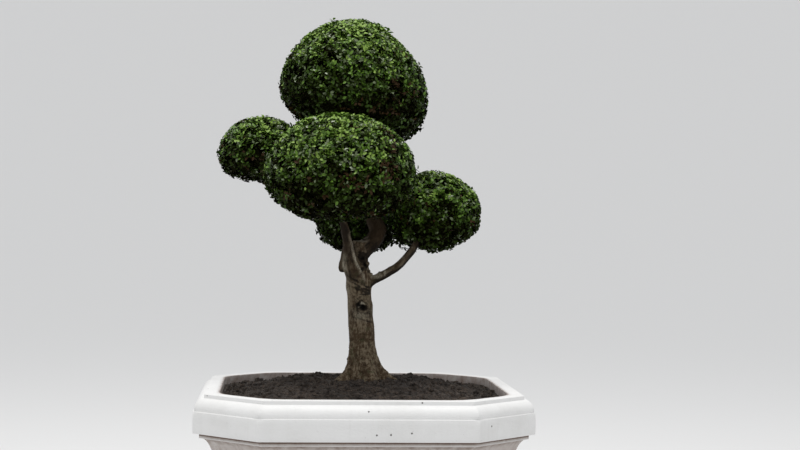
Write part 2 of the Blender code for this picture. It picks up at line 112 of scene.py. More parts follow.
class NodeSheet:
    """One material's node tree, with a single method that adds any node."""

    def __init__(self, name: str) -> None:
        """Makes the material and keeps its Principled shader."""
        self.material = bpy.data.materials.new(name)
        self.material.use_nodes = True
        self.tree = self.material.node_tree
        self.shader = self.tree.nodes["Principled BSDF"]

    def feed(self, socket: bpy.types.NodeSocket, value: Any) -> None:
        """Links a wire to a socket, or sets the socket to a plain value."""
        if isinstance(value, Wire):
            self.tree.links.new(value.socket, socket)
        elif isinstance(value, tuple) and len(value) == 3 and socket.type == "RGBA":
            socket.default_value = (*value, 1.0)
        else:
            socket.default_value = value

    def wire(self, kind: str, settings: dict, sockets: dict, output: Union[int, str] = 0) -> Wire:
        """Adds a node of any type.

        Args:
            kind: the node's type.
            settings: its own settings, set first; "stops" holds a ramp's (place, colour) pairs.
            sockets: values or wires for its inputs, by name or number.
            output: the output to give back.

        Returns:
            The chosen output.
        """
        node = self.tree.nodes.new(kind)
        for key, value in settings.items():
            if key == "stops":
                self._set_stops(node.color_ramp, value)
            else:
                setattr(node, key, value)
        for key, value in sockets.items():
            self.feed(node.inputs[key], value)
        return Wire(self, node.outputs[output])

    @staticmethod
    def _set_stops(ramp: bpy.types.ColorRamp, stops: Sequence[tuple[float, Colour]]) -> None:
        """Gives a colour ramp exactly these stops."""
        while len(ramp.elements) < len(stops):
            ramp.elements.new(1.0)
        for element, (place, colour) in zip(ramp.elements, stops):
            element.position = place
            element.color = (*colour, 1.0)

    def place(self) -> Wire:
        """The point on the surface, in Object coordinates."""
        return self.wire("ShaderNodeTexCoord", {}, {}, "Object")

    def attribute(self, name: str) -> Wire:
        """A number that the mesh carries under this name."""
        return self.wire("ShaderNodeAttribute", {"attribute_name": name}, {}, "Fac")

    def stretched(self, scale: tuple[float, float, float]) -> Wire:
        """The point on the surface with each axis stretched by its own share."""
        return self.wire("ShaderNodeMapping", {}, {"Vector": self.place(), "Scale": scale})

    def noise(
        self, scale: float, detail: float = 4.0, rough: float = 0.5, where: Optional[Wire] = None
    ) -> Wire:
        """Fractal noise from about 0 to 1, so many waves to the metre."""
        sockets = {"Vector": where or self.place(), "Scale": scale, "Detail": detail, "Roughness": rough}
        return self.wire("ShaderNodeTexNoise", {}, sockets)

    def cells(self, scale: float, output: str) -> Wire:
        """Voronoi cells, so many to the metre: the distance to a cell's point, or its random colour."""
        return self.wire("ShaderNodeTexVoronoi", {}, {"Vector": self.place(), "Scale": scale}, output)

    def red_of(self, colour: Wire) -> Wire:
        """The red channel of a colour, as a number."""
        return self.wire("ShaderNodeSeparateColor", {}, {"Color": colour}, "Red")

    def blend(self, under: Union[Wire, Colour], over: Union[Wire, Colour], share: Value) -> Wire:
        """One colour over another, by a share from 0 to 1."""
        sockets = {"Factor": share, 6: under, 7: over}
        return self.wire("ShaderNodeMix", {"data_type": "RGBA", "clamp_factor": True}, sockets, 2)

    def bump(self, height: Wire, depth: float) -> Wire:
        """A normal from a height from 0 to 1 that stands for so many metres."""
        sockets = {"Height": height, "Distance": depth, "Strength": 1.0}
        return self.wire("ShaderNodeBump", {}, sockets, "Normal")

    def finish(self, **sockets: Any) -> Material:
        """Feeds the Principled shader's sockets, named with _ for a space, and gives back the material."""
        for key, value in sockets.items():
            self.feed(self.shader.inputs[key.replace("_", " ")], value)
        return self.material


# Finishes


@dataclass(frozen=True)
class MasonryPaint:
    """White masonry paint over trowelled render: brush drag, pits, runs below ledges, dirt with painted shade
    in hollows and under the cap, and a painted highlight on the fillet's lower edge.
    """

    clean: Colour = (0.735, 0.735, 0.732)
    worn: Colour = (0.600, 0.596, 0.580)
    # warm grey-brown: drip marks with painted shade under the cap
    stained_and_shaded: Colour = (0.345, 0.292, 0.262)
    # dark brown: dirt with painted shadow in hollows and under the fascia
    grime_and_shading: Colour = (0.150, 0.098, 0.074)
    pit: Colour = (0.070, 0.062, 0.055)
    runs_stretch: tuple = (46.0, 46.0, 2.6)
    drag_stretch: tuple = (1.0, 1.0, 3.0)
    pit_cells: float = 22.0
    speck_cells: float = 70.0
    relief: float = 0.0016

    def material(self) -> Material:
        """The finished material, which reads two shares from the mesh: dirt with painted shade in hollows,
        and drip marks with painted shade under the cap.
        """
        sheet = NodeSheet("masonry_paint")
        blotches = sheet.noise(4.2, 7.0, 0.66).rising(0.42, 0.70)
        runs = sheet.noise(1.0, 5.0, 0.6, sheet.stretched(self.runs_stretch)).rising(0.50, 0.76)
        # two shares from the mesh: dirt with painted shade in hollows, and drip marks with painted shade
        # under the cap
        shelter, under = sheet.attribute("shelter"), sheet.attribute("under")
        broken = sheet.noise(26.0, 5.0, 0.65)
        ragged = (shelter + (broken - 0.5) * 0.55).rising(0.42, 0.95)
        colour = sheet.blend(self.clean, self.worn, blotches * 0.34 + runs * 0.16)
        # drip marks and painted shade under the cap, then dirt and painted shadow in the hollows
        colour = sheet.blend(colour, self.stained_and_shaded, under * (0.78 + (broken - 0.5) * 0.6 + runs * 0.2))
        colour = sheet.blend(colour, self.grime_and_shading, ragged * 0.90 + runs * shelter * 0.2)
        spots = sheet.cells(self.pit_cells, "Distance").rising(0.092, 0.066)
        rare = sheet.red_of(sheet.cells(self.pit_cells, "Color")).rising(0.58, 0.60)
        specks = sheet.cells(self.speck_cells, "Distance").rising(0.085, 0.055)
        fewer = sheet.red_of(sheet.cells(self.speck_cells, "Color")).rising(0.93, 0.94)
        pits = (spots * rare).at_least(specks * fewer * 0.55)
        colour = sheet.blend(colour, self.pit, pits * 0.88)
        drag = sheet.noise(60.0, 4.0, 0.55, sheet.stretched(self.drag_stretch))
        grit = sheet.noise(420.0, 3.0, 0.6)
        lumps = sheet.noise(24.0, 4.0, 0.6)
        height = lumps * 0.9 + drag * 0.5 + grit * 0.25 - pits * 1.5
        rough = 0.50 + blotches * 0.14 + ragged * 0.18
        return sheet.finish(Base_Color=colour, Roughness=rough, Normal=sheet.bump(height, self.relief))


@dataclass(frozen=True)
class PottingSoil:
    """Dark moist potting soil: fine crumbs, dry paler patches, a few light grains and painted shade in the
    cracks between clods.
    """

    # dark moist soil, which also paints the shade in the cracks between clods
    damp_and_shade: Colour = (0.017, 0.011, 0.0075)
    dry: Colour = (0.078, 0.054, 0.037)
    grain: Colour = (0.240, 0.205, 0.160)
    clod_cells: float = 84.0
    grain_cells: float = 120.0
    relief: float = 0.005

    def material(self) -> Material:
        """The finished material."""
        sheet = NodeSheet("potting_soil")
        patches = sheet.noise(9.0, 6.0, 0.65)
        crumbs = sheet.noise(210.0, 6.0, 0.7)
        colour = sheet.blend(self.damp_and_shade, self.dry, (patches * 0.5 + crumbs * 0.65).rising(0.44, 0.76))
        # painted shade in the cracks between clods
        between = sheet.cells(self.clod_cells, "Distance").rising(0.34, 0.66) * crumbs.rising(0.62, 0.40)
        colour = sheet.blend(colour, self.damp_and_shade, between * 0.85)
        grains = sheet.cells(self.grain_cells, "Distance").rising(0.22, 0.12)
        pale = sheet.red_of(sheet.cells(self.grain_cells, "Color")).rising(0.88, 0.92)
        colour = sheet.blend(colour, self.grain, grains * pale * 0.7)
        height = crumbs + grains * pale * 0.3 - between * 0.8
        rough = 0.82 + crumbs * 0.15
        return sheet.finish(Base_Color=colour, Roughness=rough, Normal=sheet.bump(height, self.relief))


@dataclass(frozen=True)
class TreeBark:
    """Old grey-brown bark, paler on rubbed ridges and the sawn end, with a painted highlight on the trunk's
    left edge, reddish with painted deep shade, and painted shade in furrows, creases, joins, undersides and
    hollows.
    """

    brown: Colour = (0.058, 0.037, 0.020)
    grey: Colour = (0.208, 0.167, 0.113)
    # near-black: dark furrows, with painted shade in them, in creases and joins, under the boughs and in
    # shaded patches
    groove: Colour = (0.009, 0.006, 0.004)
    # pale bark, which also paints the highlights on the trunk's left edge and the knot's lip
    pale: Colour = (0.330, 0.305, 0.240)
    # dark reddish brown, which also paints the deep shade on the limbs under the canopy
    red: Colour = (0.025, 0.0150, 0.0070)
    moss: Colour = (0.050, 0.060, 0.026)
    # near-black painted shade inside the hollows
    hole: Colour = (0.004, 0.003, 0.002)
    streaks_stretch: tuple = (115.0, 115.0, 24.0)
    relief: float = 0.0022

    def material(self) -> Material:
        """The finished material, which reads four shares from the mesh: dark furrows with painted shade,
        paler bark with painted highlights, reddish bark with painted deep shade, and painted shade inside the
        hollows.
        """
        sheet = NodeSheet("tree_bark")
        groove, pale = sheet.attribute("groove"), sheet.attribute("pale")
        red, hole = sheet.attribute("red"), sheet.attribute("hole")
        broad = sheet.noise(13.0, 4.0, 0.6)
        patches = sheet.noise(58.0, 6.0, 0.70)
        fine = sheet.noise(210.0, 5.0, 0.7)
        streaks = sheet.noise(1.0, 5.0, 0.65, sheet.stretched(self.streaks_stretch))
        weathered = (patches * 0.55 + streaks * 0.45 + broad * 0.35).rising(0.60, 0.80)
        colour = sheet.blend(self.brown, self.grey, weathered)
        mossy = sheet.noise(30.0, 5.0, 0.65).rising(0.53, 0.66)
        colour = sheet.blend(colour, self.moss, mossy * 0.5)
        # reddish bark with painted deep shade
        colour = sheet.blend(colour, self.red, red * (0.70 + patches * 0.4))
        # paler bark, with painted highlights among it
        colour = sheet.blend(colour, self.pale, pale * (streaks * 0.6 + fine * 0.7).rising(0.42, 0.78))
        flecks = (patches * 0.6 + fine * 0.4).rising(0.49, 0.37) * 0.66
        # dark furrows with painted shade, and dark flecks
        dark = (groove + (fine - 0.5) * 0.6).rising(0.20, 0.92).at_least(flecks)
        colour = sheet.blend(colour, self.groove, dark * 0.9)
        # near-black painted shade inside the hollows
        colour = sheet.blend(colour, self.hole, hole)
        height = fine * 0.45 + streaks * 0.6 + patches * 0.5
        rough = 0.74 + fine * 0.2
        normal = sheet.bump(height, self.relief)
        return sheet.finish(Base_Color=colour, Roughness=rough, Normal=normal, Specular_IOR_Level=0.14)


class LeafTone(Enum):
    """The tones that leaves are dealt, each with its place in a leaf piece's list of finishes. Most are
    painted light and shade, dealt by how much light a leaf gets.
    """

    FRESH = 0
    BRIGHT = 1
    MIDDLE = 2
    DEEP = 3
    SHADE = 4
    DULL = 5
    BRONZE = 6


@dataclass(frozen=True)
class PlainFinish:
    """One plain colour with the soft gloss of a small firm leaf or a young twig."""

    name: str
    colour: Colour
    gloss: float
    roughness: float

    def material(self) -> Material:
        """The finished material."""
        sheet = NodeSheet(self.name)
        return sheet.finish(Base_Color=self.colour, Roughness=self.roughness, Specular_IOR_Level=self.gloss)


TWIG_FINISH = PlainFinish("twig_bark", (0.110, 0.078, 0.052), 0.3, 0.8)

# Most leaf tones are painted light and shade, dealt by how much light a leaf gets; the grey-green glossy one
# is partly a painted glint, and the bronze one is the leaves' own tint.
LEAF_FINISHES = {
    LeafTone.FRESH: PlainFinish("leaf_fresh", (0.180, 0.283, 0.052), 0.18, 0.38),
    LeafTone.BRIGHT: PlainFinish("leaf_bright", (0.090, 0.172, 0.021), 0.18, 0.34),
    LeafTone.MIDDLE: PlainFinish("leaf_middle", (0.037, 0.078, 0.007), 0.15, 0.32),
    LeafTone.DEEP: PlainFinish("leaf_deep", (0.017, 0.030, 0.003), 0.07, 0.38),
    LeafTone.SHADE: PlainFinish("leaf_shade", (0.0064, 0.0070, 0.0014), 0.02, 0.50),
    # pale glossy grey-green, partly a painted glint
    LeafTone.DULL: PlainFinish("leaf_dull", (0.098, 0.130, 0.058), 0.42, 0.26),
    LeafTone.BRONZE: PlainFinish("leaf_bronze", (0.040, 0.022, 0.009), 0.08, 0.48),
}


# Meshes


class Grain:
    """Smooth random numbers in space: a repeating lattice of seeded values, blended between its points."""

    SIZE = 32
    SHIFT = 7.3

    def __init__(self, seed: int) -> None:
        """Draws the lattice."""
        self.lattice = np.random.default_rng(seed).uniform(-1, 1, (self.SIZE,) * 3)

    def at(self, points: Array) -> Array:
        """The value at each point, from -1 to 1, one lattice step to a unit.

        The value is the blend of the eight lattice values around the point, each weighted by the smooth step
        of how near the point is to it along each axis.

        Args:
            points: an array of points.

        Returns:
            One number for each point.
        """
        low = np.floor(points).astype(np.int64)
        near = points - low
        near = near * near * (3 - 2 * near)
        total = np.zeros(len(points))
        for corner in range(8):
            step = np.array([corner >> 2 & 1, corner >> 1 & 1, corner & 1])
            i, j, k = ((low + step) % self.SIZE).T
            total += self.lattice[i, j, k] * np.prod(np.where(step, near, 1 - near), axis=1)
        return total

    def layered(self, points: Array, layers: int) -> Array:
        """Layers of the value, each twice as fine and half as strong as the last.

        Args:
            points: an array of points.
            layers: how many layers are added.

        Returns:
            One number for each point.
        """
        total = np.zeros(len(points))
        for layer in range(layers):
            total += self.at(points * 2.0**layer + self.SHIFT * layer) * 0.5**layer
        return total

    def over(self, points: Array, waves: float, layers: int) -> Array:
        """The layered value over an array of points of any shape, so many lattice steps to the metre."""
        return self.layered(points.reshape(-1, 3) * waves, layers).reshape(points.shape[:-1])


@dataclass
class Skin:
    """A mesh in the making: its points, its faces in groups of one size, and each group's finish numbers."""

    points: list[Array] = field(default_factory=list)
    faces: list[Array] = field(default_factory=list)
    finishes: list[Array] = field(default_factory=list)
    count: int = 0

    def add(self, points: Array, *faces: Array) -> None:
        """Adds points and the faces on them, which take the first finish.

        Args:
            points: the new points.
            faces: arrays of faces, each array with one number of corners, counted from these points' first.
        """
        for group in faces:
            self.faces.append(np.asarray(group) + self.count)
            self.finishes.append(np.zeros(len(group), np.int32))
        self.points.append(np.asarray(points, float).reshape(-1, 3))
        self.count += len(self.points[-1])

    def build(self, name: str, smooth: bool = True) -> Piece:
        """Makes the object, at the origin, with every group of faces put in as whole arrays.

        Args:
            name: the object's name.
            smooth: whether its faces are shaded smooth.

        Returns:
            The object, linked to the scene.
        """
        mesh = bpy.data.meshes.new(name)
        corners = np.concatenate([group.ravel() for group in self.faces]).astype(np.int32)
        sizes = np.concatenate([np.full(len(group), group.shape[1]) for group in self.faces])
        mesh.vertices.add(self.count)
        mesh.vertices.foreach_set("co", np.concatenate(self.points).astype(np.float32).ravel())
        mesh.loops.add(len(corners))
        mesh.loops.foreach_set("vertex_index", corners)
        mesh.polygons.add(len(sizes))
        starts = np.concatenate([[0], np.cumsum(sizes)[:-1]]).astype(np.int32)
        mesh.polygons.foreach_set("loop_start", starts)
        mesh.polygons.foreach_set("material_index", np.concatenate(self.finishes))
        mesh.polygons.foreach_set("use_smooth", np.full(len(sizes), smooth))
        mesh.update(calc_edges=True)
        mesh.validate()
        made = bpy.data.objects.new(name, mesh)
        bpy.context.scene.collection.objects.link(made)
        return made


def ring_faces(rows: int, columns: int) -> Array:
    """The four-cornered faces between rings of points, listed ring by ring from the lowest.

    Args:
        rows: how many rings there are.
        columns: how many points are in a ring.

    Returns:
        Rows of four point numbers.
    """
    row, column = np.meshgrid(np.arange(rows - 1), np.arange(columns), indexing="ij")
    low, beside = row * columns + column, row * columns + (column + 1) % columns
    return np.stack([low, beside, beside + columns, low + columns], axis=-1).reshape(-1, 4)


def end_fans(rows: int, columns: int) -> tuple[Array, Array]:
    """The triangles that close the first ring and the last one, with the two points listed after the rings.

    Args:
        rows: how many rings there are.
        columns: how many points are in a ring.

    Returns:
        The fan under the first ring and the fan over the last.
    """
    ring = np.arange(columns)
    after = (ring + 1) % columns
    total = rows * columns
    last = total - columns
    low = np.stack([np.full(columns, total), after, ring], axis=-1)
    return low, np.stack([np.full(columns, total + 1), last + ring, last + after], axis=-1)


def polar(reach: Array, angles: Array, height: Union[float, Array]) -> Array:
    """Points at a distance from the Z axis, at an angle round it and at a height."""
    x, y = reach * np.cos(angles), reach * np.sin(angles)
    return np.stack([x, y, np.broadcast_to(height, x.shape)], axis=-1)


def carry_attribute(piece: Piece, name: str, values: Array) -> None:
    """Gives each point of a piece a number that its material can read."""
    carried = piece.data.attributes.new(name, "FLOAT", "POINT")
    carried.data.foreach_set("value", values.astype(np.float32))


def dress(piece: Piece, finishes: Iterable[Material], nodes: Sequence[str]) -> None:
    """Puts the finishes on a piece, and says what it rides on and what it replaces.

    Args:
        piece: the finished object.
        finishes: its materials, in the order of its faces' finish numbers.
        nodes: the solids that it stands for.
    """
    for finish in finishes:
        piece.data.materials.append(finish)
    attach(piece, BODY)
    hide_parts(*nodes)
    piece.data.calc_loop_triangles()
    log.info("%s: %d triangles", piece.name, len(piece.data.loop_triangles))


def unit(vectors: Array) -> Array:
    """Each vector at length 1."""
    return vectors / np.linalg.norm(vectors, axis=-1, keepdims=True)


def across(ways: Array) -> tuple[Array, Array]:
    """Two directions square to each way and to each other."""
    helper = np.where(np.abs(ways[:, 2:]) < 0.8, [[0.0, 0.0, 1.0]], [[1.0, 0.0, 0.0]])
    first = unit(np.cross(ways, helper))
    return first, np.cross(ways, first)


def circles(first: Array, second: Array, angles: Array) -> Array:
    """Unit circles in the planes of two directions: first times cos a + second times sin a at every angle."""
    return first[:, None] * np.cos(angles)[None, :, None] + second[:, None] * np.sin(angles)[None, :, None]


def ramp(values: Array, span: float) -> Array:
    """0 up to nothing, 1 from the span on, and a straight line between."""
    return np.clip(values / span, 0, 1)


def bell(values: Array, width: float) -> Array:
    """1 at nothing and falling on both sides: e to the power of minus the square of value over width."""
    return np.exp(-((values / width) ** 2))


def dots(first: Array, second: Array) -> Array:
    """The product of each vector with its partner, which for unit vectors is the cosine between them."""
    return np.einsum("ij,ij->i", first, second)


# Planter and soil


@dataclass(frozen=True)
class Plan:
    """The planter's plan: a square with its corners cut off, whose eight corners may be rounded."""

    half_width: float = 0.70
    corner_cut: float = 0.266
    near_corner: tuple = (0.0, 0.0012, 0.0025, 0.010, 0.028, 0.055, 0.083)
    step: float = 0.045
    least_radius: float = 1e-6

    def side(self, half_width: Array, odd: bool) -> tuple[Array, Array]:
        """A side's distance from the middle and half its length, in parallel with the fascia's.

        A wide side of half width w has half the length l = l0 - (sqrt 2 - 1)(w0 - w). A side across a corner
        is (w + l) / sqrt 2 from the middle and (w - l) / sqrt 2 long to either side.

        Args:
            half_width: the plan's half width, w.
            odd: whether the side goes across a corner.

        Returns:
            The distance and half the length.
        """
        half = (self.half_width - self.corner_cut) - (math.sqrt(2) - 1) * (self.half_width - half_width)
        if odd:
            return (half_width + half) / math.sqrt(2), (half_width - half) / math.sqrt(2)
        return half_width, half

    def along_side(self, odd: bool) -> Array:
        """Places along half a side, close together near its corner.

        Args:
            odd: whether the side goes across a corner.

        Returns:
            Distances from the corner, as metres at the fascia.
        """
        half = float(self.side(np.array(self.half_width), odd)[1])
        near = np.array(self.near_corner)
        middle = np.arange(1, max(2, round((half - near[-1]) / self.step)) + 1)
        return np.concatenate([near, near[-1] + (half - near[-1]) * middle / len(middle)])

    def rings(self, rows: Array) -> Array:
        """The plan carried through rows of (half width, height, corner radius).

        Each side is a straight line at its distance from the middle. Within radius * tan(22.5 degrees) of a
        corner it gives way to a round whose centre stands in by the radius from both sides.

        Args:
            rows: an array of half width, height and corner radius.

        Returns:
            An array of rows by places by x, y and z, anticlockwise from above.
        """
        half_widths, heights, radii = rows.T[:, :, None]
        pieces = []
        for side in range(8):
            odd = bool(side % 2)
            places = self.along_side(odd)
            distance, half = self.side(half_widths, odd)
            near = self.near_corner[-1]
            scale = (half - near) / (places[-1] - near)
            away = np.where(places <= near, places, near + (places - near) * scale)
            tangent = np.maximum(radii, self.least_radius) * math.tan(EIGHTH_TURN / 2)
            turn = np.clip(1 - away / tangent, 0, 1) * EIGHTH_TURN / 2
            inner_half = half - tangent
            straight = away >= tangent
            out = np.where(straight, distance, distance - radii + radii * np.cos(turn))
            along = np.where(straight, half - away, inner_half + radii * np.sin(turn))
            cosine, sine = math.cos(side * EIGHTH_TURN), math.sin(side * EIGHTH_TURN)
            for sign in (-1, 1):
                order = slice(None, -1) if sign < 0 else slice(None, 0, -1)
                x, y = out[:, order], sign * along[:, order]
                px, py = x * cosine - y * sine, x * sine + y * cosine
                pieces.append(np.stack([px, py, np.broadcast_to(heights, px.shape)], axis=-1))
        return np.concatenate(pieces, axis=1)


@dataclass(frozen=True)
class GrimeAndShading:
    """How strongly each place of the planter takes dirt and painted shade, and one painted highlight, from 0
    to 1, and how far that reaches in metres.
    """

    # under the fascia, the fillet and in the cove: dirt with painted shadow
    fascia: float = 0.94
    fascia_reach: float = 0.0115
    fascia_fade: float = 0.0030
    cove: float = 0.26
    fillet: float = 0.44
    fillet_reach: float = 0.030
    splash: float = 0.55
    splash_reach: float = 0.05
    ledge: float = 0.45
    ledge_rise: float = 0.066
    ledge_reach: float = 0.012
    inside: float = 0.75
    underside: float = 0.5
    drip_reach: float = 0.10
    drip_fade: float = 0.15
    drip_power: float = 1.5
    # a painted highlight on the fillet's lower edge
    edge_highlight: float = 0.85
    edge_highlight_height: float = 0.0085
    foot: float = 0.30
    foot_reach: float = 0.06
    inside_stain: float = 0.6
    underside_stain: float = 0.3


@dataclass(frozen=True)
class Wear:
    """How the planter's outer side is worn: trowel waves, a dent and chips at the cap's eight mitres."""

    wave: float = 0.0009
    dent: float = 0.003
    dent_width: float = 0.009
    dent_height: float = 0.007
    chip: float = 0.0012
    chip_width: float = 0.006
    chip_level: float = 0.2
    proudest: float = 0.0004


@dataclass(frozen=True)
class Planter:
    """The octagonal masonry planter: plinth, waist and moulded cap, with its wall and floor inside."""

    plan: Plan = Plan()
    paint: MasonryPaint = MasonryPaint()
    grime_and_shading: GrimeAndShading = GrimeAndShading()
    wear: Wear = Wear()
    plinth_height: float = 0.105
    plinth_round: float = 0.058
    waist_bottom: float = 0.250
    waist_top: float = 0.515
    cove_top: float = 0.630
    fillet_top: float = 0.650
    plinth_fillet: float = 0.014
    fascia_top: float = 0.739
    round_top: float = 0.791
    rim_top: float = 0.807
    floor: float = 0.070
    shoulder_top: float = 0.700
    shoulder_bottom: float = 0.600
    opening: float = 0.595
    cavity: float = 0.520
    opening_corner: float = 0.20
    plinth_back: float = 0.012
    waist_back: float = 0.092
    cove_back: float = 0.031
    fillet_back: float = 0.026
    arris_step: float = 0.005
    ledge_back: float = 0.045
    arris: float = 0.0032
    longest_step: float = 0.022
    corner_wear: float = 0.006
    foot_step: float = 0.010
    waist_points: int = 10
    cove_points: int = 13
    cove_power: float = 1.25
    round_points: int = 11
    fillet_rises: tuple = (0.0, 0.0030, 0.0060, 0.0085, 0.0115, 0.0145)
    underside: float = 0.55
    smooth_bend: float = -0.93
    sharp_angle: float = 38.0
    hair: float = 0.0001

    def outer_profile(self) -> list[tuple[float, float]]:
        """The outer side as (setback, height), from the ground up, with its curves as short chords.

        The rounds are quarters of an ellipse. At u the waist stands back by a share of u squared, and the
        cove by a share of 1 - u to the power of 1.25 while its height rises with 1 - (1 - u) squared.

        Returns:
            The side's corners and chords.
        """
        plinth_fillet = self.plinth_height + self.plinth_round + self.plinth_fillet
        ledge = self.plinth_back + self.ledge_back
        turns = np.linspace(0, math.pi / 2, self.round_points)
        reach = self.ledge_back - self.arris_step
        side = [(self.plinth_back, 0.0), (self.plinth_back, self.plinth_height)]
        for a in turns:
            side.append((ledge - reach * math.cos(a), self.plinth_height + self.plinth_round * math.sin(a)))
        side.append((ledge, plinth_fillet))
        spread, fall = ledge + self.foot_step - self.waist_back, plinth_fillet - self.waist_bottom
        for u in np.linspace(0, 1, self.waist_points)[::-1]:
            side.append((self.waist_back + spread * u * u, self.waist_bottom + fall * u))
        depth, drop = self.waist_back - self.cove_back, self.cove_top - self.waist_top
        for u in np.linspace(0, 1, self.cove_points):
            back = self.cove_back + depth * (1 - u**self.cove_power)
            side.append((back, self.cove_top - drop * (1 - u) ** 2))
        side += [(self.fillet_back, self.cove_top + rise) for rise in self.fillet_rises]
        side += [(self.fillet_back, self.fillet_top)]
        side += [(0.0, self.fillet_top), (0.0, self.fascia_top), (self.arris_step, self.fascia_top)]
        foot, rise = self.fascia_top + self.arris_step, self.round_top - self.fascia_top - self.arris_step
        side += [(self.ledge_back - reach * math.cos(a), foot + rise * math.sin(a)) for a in turns]
        return side + [(self.ledge_back, self.rim_top)]

    def softened(self, corners: Array) -> Array:
        """A profile with its sharp corners worn round and its long stretches divided.

        A corner gives way to three points: one arris back along each side, and one a quarter of the way from
        their middle to the corner. A stretch longer than the longest step is then divided evenly.

        Args:
            corners: rows of the profile, whose first two numbers are its place.

        Returns:
            The rows of the softened profile.
        """
        worn = [corners[0]]
        for before, here, after in zip(corners[:-2], corners[1:-1], corners[2:]):
            back, on = before - here, after - here
            gaps = np.linalg.norm(back[:2]), np.linalg.norm(on[:2])
            bend = back[:2] @ on[:2] / (gaps[0] * gaps[1])
            if bend < self.smooth_bend:
                worn.append(here)
                continue
            reach = min(self.arris, min(gaps) * 0.45)
            first, last = here + back * reach / gaps[0], here + on * reach / gaps[1]
            worn += [first, here * 0.5 + (first + last) * 0.25, last]
        worn.append(corners[-1])
        rows = [worn[0]]
        for here, after in zip(worn[:-1], worn[1:]):
            steps = max(1, math.ceil(np.linalg.norm((after - here)[:2]) / self.longest_step))
            rows += [here + (after - here) * i / steps for i in range(1, steps + 1)]
        return np.array(rows)

    def profile(self) -> tuple[Array, int]:
        """Rows of (half width, height, corner radius) from the underside up, over the rim and down inside.

        Returns:
            The rows, and the number of the first one inside the rim.
        """
        wide = self.plan.half_width
        outer = [(wide - back, height, self.corner_wear) for back, height in self.outer_profile()]
        inner = [
            (self.opening, self.rim_top, self.opening_corner),
            (self.opening, self.shoulder_top, self.opening_corner),
            (self.cavity, self.shoulder_bottom, self.opening_corner),
            (self.cavity, self.floor, self.opening_corner),
        ]
        outer_rows = self.softened(np.array([(self.underside, 0.0, self.corner_wear), *outer, inner[0]]))
        inner_rows = self.softened(np.array([outer_rows[-2], *inner]))[1:]
        return np.vstack([outer_rows[:-1], inner_rows]), len(outer_rows) - 1

    def dirt_and_shading(self, rows: Array, inside: int) -> tuple[Array, Array]:
        """How much dirt and painted shade each row takes, and how far drip marks and painted shade darken it
        under the cap.

        The dirt and painted shadow are most under the fascia, and less under the fillet and in the cove, as
        is the dirt by the ground and on the ledge. The drip marks and shade are full above the waist. The
        fillet's lower edge has a painted highlight, and the foot is a little soiled.

        Args:
            rows: the profile's rows.
            inside: the number of the first row inside the rim.

        Returns:
            The shares of dirt with painted shade, and of drip marks with painted shade, for each row.
        """
        grime_and_shading, height = self.grime_and_shading, rows[:, 1]
        # painted shadow and dirt under the fascia
        under_fascia = ramp(height - self.fillet_top + grime_and_shading.fascia_reach, grime_and_shading.fascia_fade)
        under_fascia *= (height < self.fillet_top + self.hair) & (self.plan.half_width - rows[:, 0] > 0.001)
        # painted shade and dirt in the cove
        cove = ramp(height - self.waist_top, self.cove_top - self.waist_top) * (height < self.cove_top)
        splash = np.exp(-height / grime_and_shading.splash_reach)
        ledge = bell(height - self.plinth_height - grime_and_shading.ledge_rise, grime_and_shading.ledge_reach)
        # a painted shadow line under the fillet
        under_fillet = bell(height - self.cove_top, grime_and_shading.fillet_reach) * (height < self.cove_top - self.hair)
        dirt_and_shade = grime_and_shading.fascia * under_fascia + grime_and_shading.cove * cove + grime_and_shading.fillet * under_fillet
        dirt_and_shade = dirt_and_shade + grime_and_shading.splash * splash + grime_and_shading.ledge * ledge
        dirt_and_shade[inside:] = grime_and_shading.inside
        # drip marks and painted shade under the cap, full above the waist
        stain_and_shade = ramp(height - self.waist_top + grime_and_shading.drip_reach, grime_and_shading.drip_fade) ** grime_and_shading.drip_power
        stain_and_shade *= height < self.fillet_top - 5 * self.hair
        # a painted highlight on the fillet's lower edge
        low_edge = np.clip(1 - (height - self.cove_top) / grime_and_shading.edge_highlight_height, 0, 1)
        stain_and_shade *= 1 - grime_and_shading.edge_highlight * low_edge * (height > self.cove_top - self.hair)
        stain_and_shade += grime_and_shading.foot * np.exp(-height / grime_and_shading.foot_reach) * (height < self.plinth_height)
        stain_and_shade[inside:] = grime_and_shading.inside_stain
        return np.clip(dirt_and_shade, 0, 1), stain_and_shade

    def moved(self, points: Array) -> Array:
        """How far the outer side is moved outwards by the wear.

        Waves lie all over it. At each mitre a dent fades with the squares of the distances along the side and
        from the fascia's top, and chips follow a noise.

        Args:
            points: an array of rings by points by x, y and z.

        Returns:
            A length for each point.
        """
        wear = self.wear
        moved = wear.wave * Grain(5).over(points, 7.0, 3)
        chips = np.clip(Grain(6).over(points, 45.0, 2) + wear.chip_level, 0, 1)
        turn = np.arctan2(points[..., 1], points[..., 0])
        corner = math.atan2(self.plan.half_width - self.plan.corner_cut, self.plan.half_width)
        for number in range(8):
            quarter, odd = divmod(number, 2)
            angle = quarter * math.pi / 2 + (math.pi / 2 - corner if odd else corner)
            off = np.angle(np.exp(1j * (turn - angle))) * self.plan.half_width
            rise = (points[..., 2] - self.fascia_top) / wear.dent_height
            depth = wear.dent + wear.dent * random.Random(number).random()
            moved -= depth * np.exp(-((off / wear.dent_width) ** 2) - rise**2)
            moved -= wear.chip * bell(off, wear.chip_width) * chips
        return np.minimum(moved, wear.proudest)

